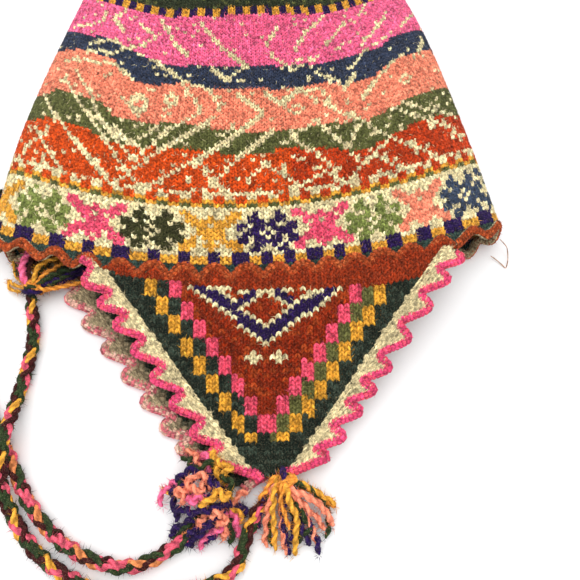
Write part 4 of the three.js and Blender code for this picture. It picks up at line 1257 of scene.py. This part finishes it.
tieStrands = [
    ("pink", 1.35, 0.1, [(-89.5, 0.8, 5), (-91.5, 3.3, 7),
        (-92.6, 7.3, 9), (-92.2, 12.1, 9), (-90.7, 17.5, 8)]),
    ("mustard", 0.9, 0.15, [(-88.9, 0.8, 5), (-87.8, 3, 8),
        (-86.6, 6.9, 9.5), (-84.4, 10.5, 9), (-79.4, 13, 8)]),
    ("orange", 0.85, 0.15, [(-88.6, 0.8, 5), (-85.5, 3.6, 8),
        (-83, 5.4, 9), (-79.1, 8.9, 8), (-76.7, 12.6, 6)]),
    ("leafGreen", 0.9, 0.2, [(-88.3, 0.8, 5), (-84.7, 2.3, 8),
        (-80, 5, 9), (-75.3, 7.4, 8), (-70.6, 10.9, 5)]),
    ("leafGreen", 0.9, 0.2, [(-88.5, 1.3, 4), (-83.4, 3.1, 7),
        (-78.7, 6.1, 8), (-76.4, 10.8, 6), (-75.7, 14.3, 4)]),
    ("purple", 0.95, 0.2, [(-88.5, 1.3, 4), (-83.8, 1.7, 7),
        (-77.6, 4.6, 7), (-73.5, 7.3, 6), (-69.6, 10, 4)]),
    ("purple", 0.95, 0.2, [(-89, 1.8, 3), (-84, 1.7, 5),
        (-76.9, 4, 5.5), (-71.7, 7.3, 4), (-68.6, 9.1, 3)]),
    ("leafGreen", 0.9, 0.2, [(-88.7, 1.8, 3), (-82.7, 1.3, 6.5),
        (-75.9, 5.2, 7), (-72.8, 8.9, 5), (-72.2, 13, 3)]),
    ("maroon", 0.95, 0.2, [(-89.5, 0.8, 5), (-90.1, 3.6, 7), (-90.3, 10.1, 7.5), (-89.5, 16.4, 6)]),
    ("maroon", 0.95, 0.2, [(-89.7, 1.3, 4), (-89.2, 4.7, 6), (-87.2, 10.5, 6.5), (-86.1, 16.2, 5)]),
    ("purple", 0.95, 0.2, [(-90, 1.3, 4), (-91.6, 5.7, 5.5), (-92.9, 10.9, 6), (-92.6, 17.8, 5)]),
    ("leafGreen", 0.85, 0.2, [(-89.4, 1.3, 4), (-87.3, 6, 6), (-83.9, 12.1, 6), (-82.3, 17.3, 4)]),
    ("orange", 0.85, 0.0, [(-88.1, 1.6, 7.5), (-83.5, -0.5, 7), (-80.2, 0.1, 6.5),
        (-76.3, 1.2, 6), (-71.9, 2.5, 5.5), (-67.4, 4.1, 5)]),
    ("mustard", 0.7, 0.1, [(-90.1, 0.2, 7), (-93.6, 1.8, 5), (-98.2, 4, 3.5),
        (-100.4, 6, 2.5), (-99.4, 2.4, 2.2), (-94.3, 0.5, 3.5)]),
    ("leafGreen", 0.6, 0.1, [(-92.8, 3.1, 6), (-96.2, 7, 4.5), (-97.7, 11.3, 3.5), (-101.1, 15.1, 2.5)]),
    ("mustard", 0.6, 0.1, [(-92.8, 3.1, 6), (-97.5, 7.9, 4), (-98.9, 11.7, 3.5), (-100.4, 15.8, 2.5)]),
    ("purple", 1, 0.1, [(-92.6, 1.5, 3.5), (-91.4, -0.6, 6),
        (-88.5, -1.6, 7.4), (-85.6, -0.6, 5.5), (-84.6, 1, 3.5)]),
    ("leafGreen", 0.9, 0.1, [(-91.8, 2.2, 3), (-90.6, 0.6, 7),
        (-88.6, 0.2, 8.2), (-86.4, 0.8, 6.6), (-85.6, 2, 3)]),
]
tassel = {"crimp": 5.2, "lobe": 0.24, "twist": 3.6, "fibres": 130, "steps": 36, "sides": 7, "taper": 0.85,
          "guide": (0.35, 0.2, 0.9), "wind": (0, 6.28), "freeRun": 6, "clear": 1.15, "mapScale": (1.0, 8.0)}
# Binding: yarn radius, points, starting angle, run along the tassel and least height of the yarn,
# then for each tassel its middle, heading, half width, half height, turns and yarn
binding = {"radius": 0.72, "steps": 70, "start": -0.5, "run": 2.4, "low": 0.8}
tasselBindings = {
    "flapTasselNear": ((9.2, -75.4, 5.6), -62, 3.6, 4.4, 2.6, "orange"),
    "flapTasselFar": ((-11.2, -79.4, 6.2), 196, 3.4, 3.6, 2.2, "purple"),
    "tieTasselNear": ((-88.8, 1.4, 4.6), 70, 3.4, 3.2, 2.4, "orange"),
    "tieTasselFar": ((-118.9, 30.2, 3.8), 98, 3.2, 2.9, 2.4, "orange"),
}
farTieKnot = {"from": (-89.2, 0.6), "to": (-118.8, 29.4), "turn": 38, "flatten": 0.72}


def strandRoute(knots, curl, radius):
    # smooth line through the points with a crimp winding round it, kept above the table
    path = smoothRoute(knots, tassel["steps"])
    ahead, side, up = sideVectors(path, np.array(tassel["guide"]))
    way = pathLength(path)
    wind = (2 * np.pi * way / tassel["crimp"] + dice.uniform(*tassel["wind"]))[:, None]
    loose = curl * np.minimum(1, way / tassel["freeRun"])[:, None]
    path = path + loose * (np.cos(wind) * side + np.sin(wind) * up)
    path[:, 2] = np.maximum(path[:, 2], radius * tassel["clear"])
    return path


def bindingRoute(middle, aim, wide, tall, turns):
    # turns of yarn round an oval neck, each a little further along the tassel
    aim = np.radians(aim)
    ahead = np.array([np.cos(aim), np.sin(aim), 0.0])
    across = np.array([-np.sin(aim), np.cos(aim), 0.0])
    angle = (np.linspace(0, 2 * np.pi * turns, binding["steps"]) + binding["start"])[:, None]
    path = np.array(middle) + ahead * (angle / angle[-1] - 0.5) * binding["run"]
    path = path + across * wide * np.cos(angle)
    path[:, 2] += tall * np.sin(angle[:, 0])
    path[:, 2] = np.maximum(path[:, 2], binding["low"])
    return path, ahead


def tasselPart(strands, bound):
    # the strands, the yarn bound round their neck and loose fibres
    parts, lines, radii, shades = [], [], [], []
    for name, radius, curl, knots in strands:
        path = strandRoute(knots, curl, radius)
        lines.append(path)
        radii.append(radius)
        shades.append(yarn(name))
        parts.append(yarnPart(path, radius, yarn(name), tassel["guide"], sides=tassel["sides"],
                              lobe=tassel["lobe"], turnLength=tassel["twist"], taper=tassel["taper"]))
    *neck, bindingYarn = bound
    path, ahead = bindingRoute(*neck)
    parts.append(yarnPart(path, binding["radius"], yarn(bindingYarn), ahead, sides=tassel["sides"],
                          turnLength=tassel["twist"]))
    parts.append(fibrePart(lines, radii, shades, tassel["fibres"] * len(lines)))
    return joinParts(parts)


def movedStrands(strands, move):
    # the same tassel set down elsewhere: turned about its knot, moved and laid flatter
    angle = np.radians(move["turn"])
    spin = np.array([[np.cos(angle), np.sin(angle)], [-np.sin(angle), np.cos(angle)]])
    moved = []
    for name, radius, curl, knots in strands:
        points = np.array(knots, float)
        points[:, :2] = (points[:, :2] - move["from"]) @ spin + move["to"]
        points[:, 2] = np.maximum(points[:, 2] * move["flatten"], radius)
        moved.append((name, radius, curl, points))
    return moved


for name, strands, node in (("flapTasselNear", nearStrands, "flap_tassel_near"),
                            ("flapTasselFar", farStrands, "flap_tassel_far"),
                            ("tieTasselNear", tieStrands, "cord_tassel_near"),
                            ("tieTasselFar", movedStrands(tieStrands, farTieKnot), "cord_tassel_far")):
    part = tasselPart(strands, tasselBindings[name])
    addPiece(name, part, tasselWool, [node], tassel["mapScale"])
print("tassels bound")

for name, tasselName in (("tieNear", "tieTasselNear"), ("tieFar", "tieTasselFar")):
    piece, path = tiePieces[name]

# Table and light

studio = {"floor": 3.0, "white": 0.9, "grain": 0.02, "grainScale": 900.0, "paperRoughness": 0.8,
          "sky": 0.92, "lamp": 14.0, "lampSize": 1.8, "lampPlace": (-0.1, 0.16, 1.3)}


def addFloor(setup):  # white paper with a faint grain, level with z = 0
    finish = Finish("tablePaper")
    grain = finish.noise(finish.objectPlace(), setup["grainScale"], 3.0)
    level = grain * setup["grain"] + (setup["white"] - setup["grain"] / 2)
    white = finish.node("ShaderNodeCombineColor", {}, {0: level, 1: level, 2: level})
    finish.put(Base_Color=white, Roughness=setup["paperRoughness"])
    half = setup["floor"] / 2
    mesh = bpy.data.meshes.new("table")
    corners = [(-half, -half, 0), (half, -half, 0), (half, half, 0), (-half, half, 0)]
    mesh.from_pydata(corners, [], [(0, 1, 2, 3)])
    mesh.materials.append(finish.material)
    floor = bpy.data.objects.new("table", mesh)
    bpy.context.collection.objects.link(floor)


def addLight(setup):  # an even white sky and one soft lamp overhead
    world = bpy.data.worlds.new("studio")
    world.use_nodes = True
    world.node_tree.nodes["Background"].inputs["Color"].default_value = (1, 1, 1, 1)
    world.node_tree.nodes["Background"].inputs["Strength"].default_value = setup["sky"]
    bpy.context.scene.world = world
    lamp = bpy.data.lights.new("softbox", "AREA")
    lamp.energy = setup["lamp"]
    lamp.size = setup["lampSize"]
    softbox = bpy.data.objects.new("softbox", lamp)
    softbox.location = setup["lampPlace"]
    aim = -np.array(setup["lampPlace"])
    softbox.rotation_euler = (np.arctan2(aim[1], -aim[2]), 0.0, 0.0)
    bpy.context.collection.objects.link(softbox)
    bpy.context.scene.view_settings.view_transform = "Standard"


addFloor(studio)
addLight(studio)
print("table and light set")
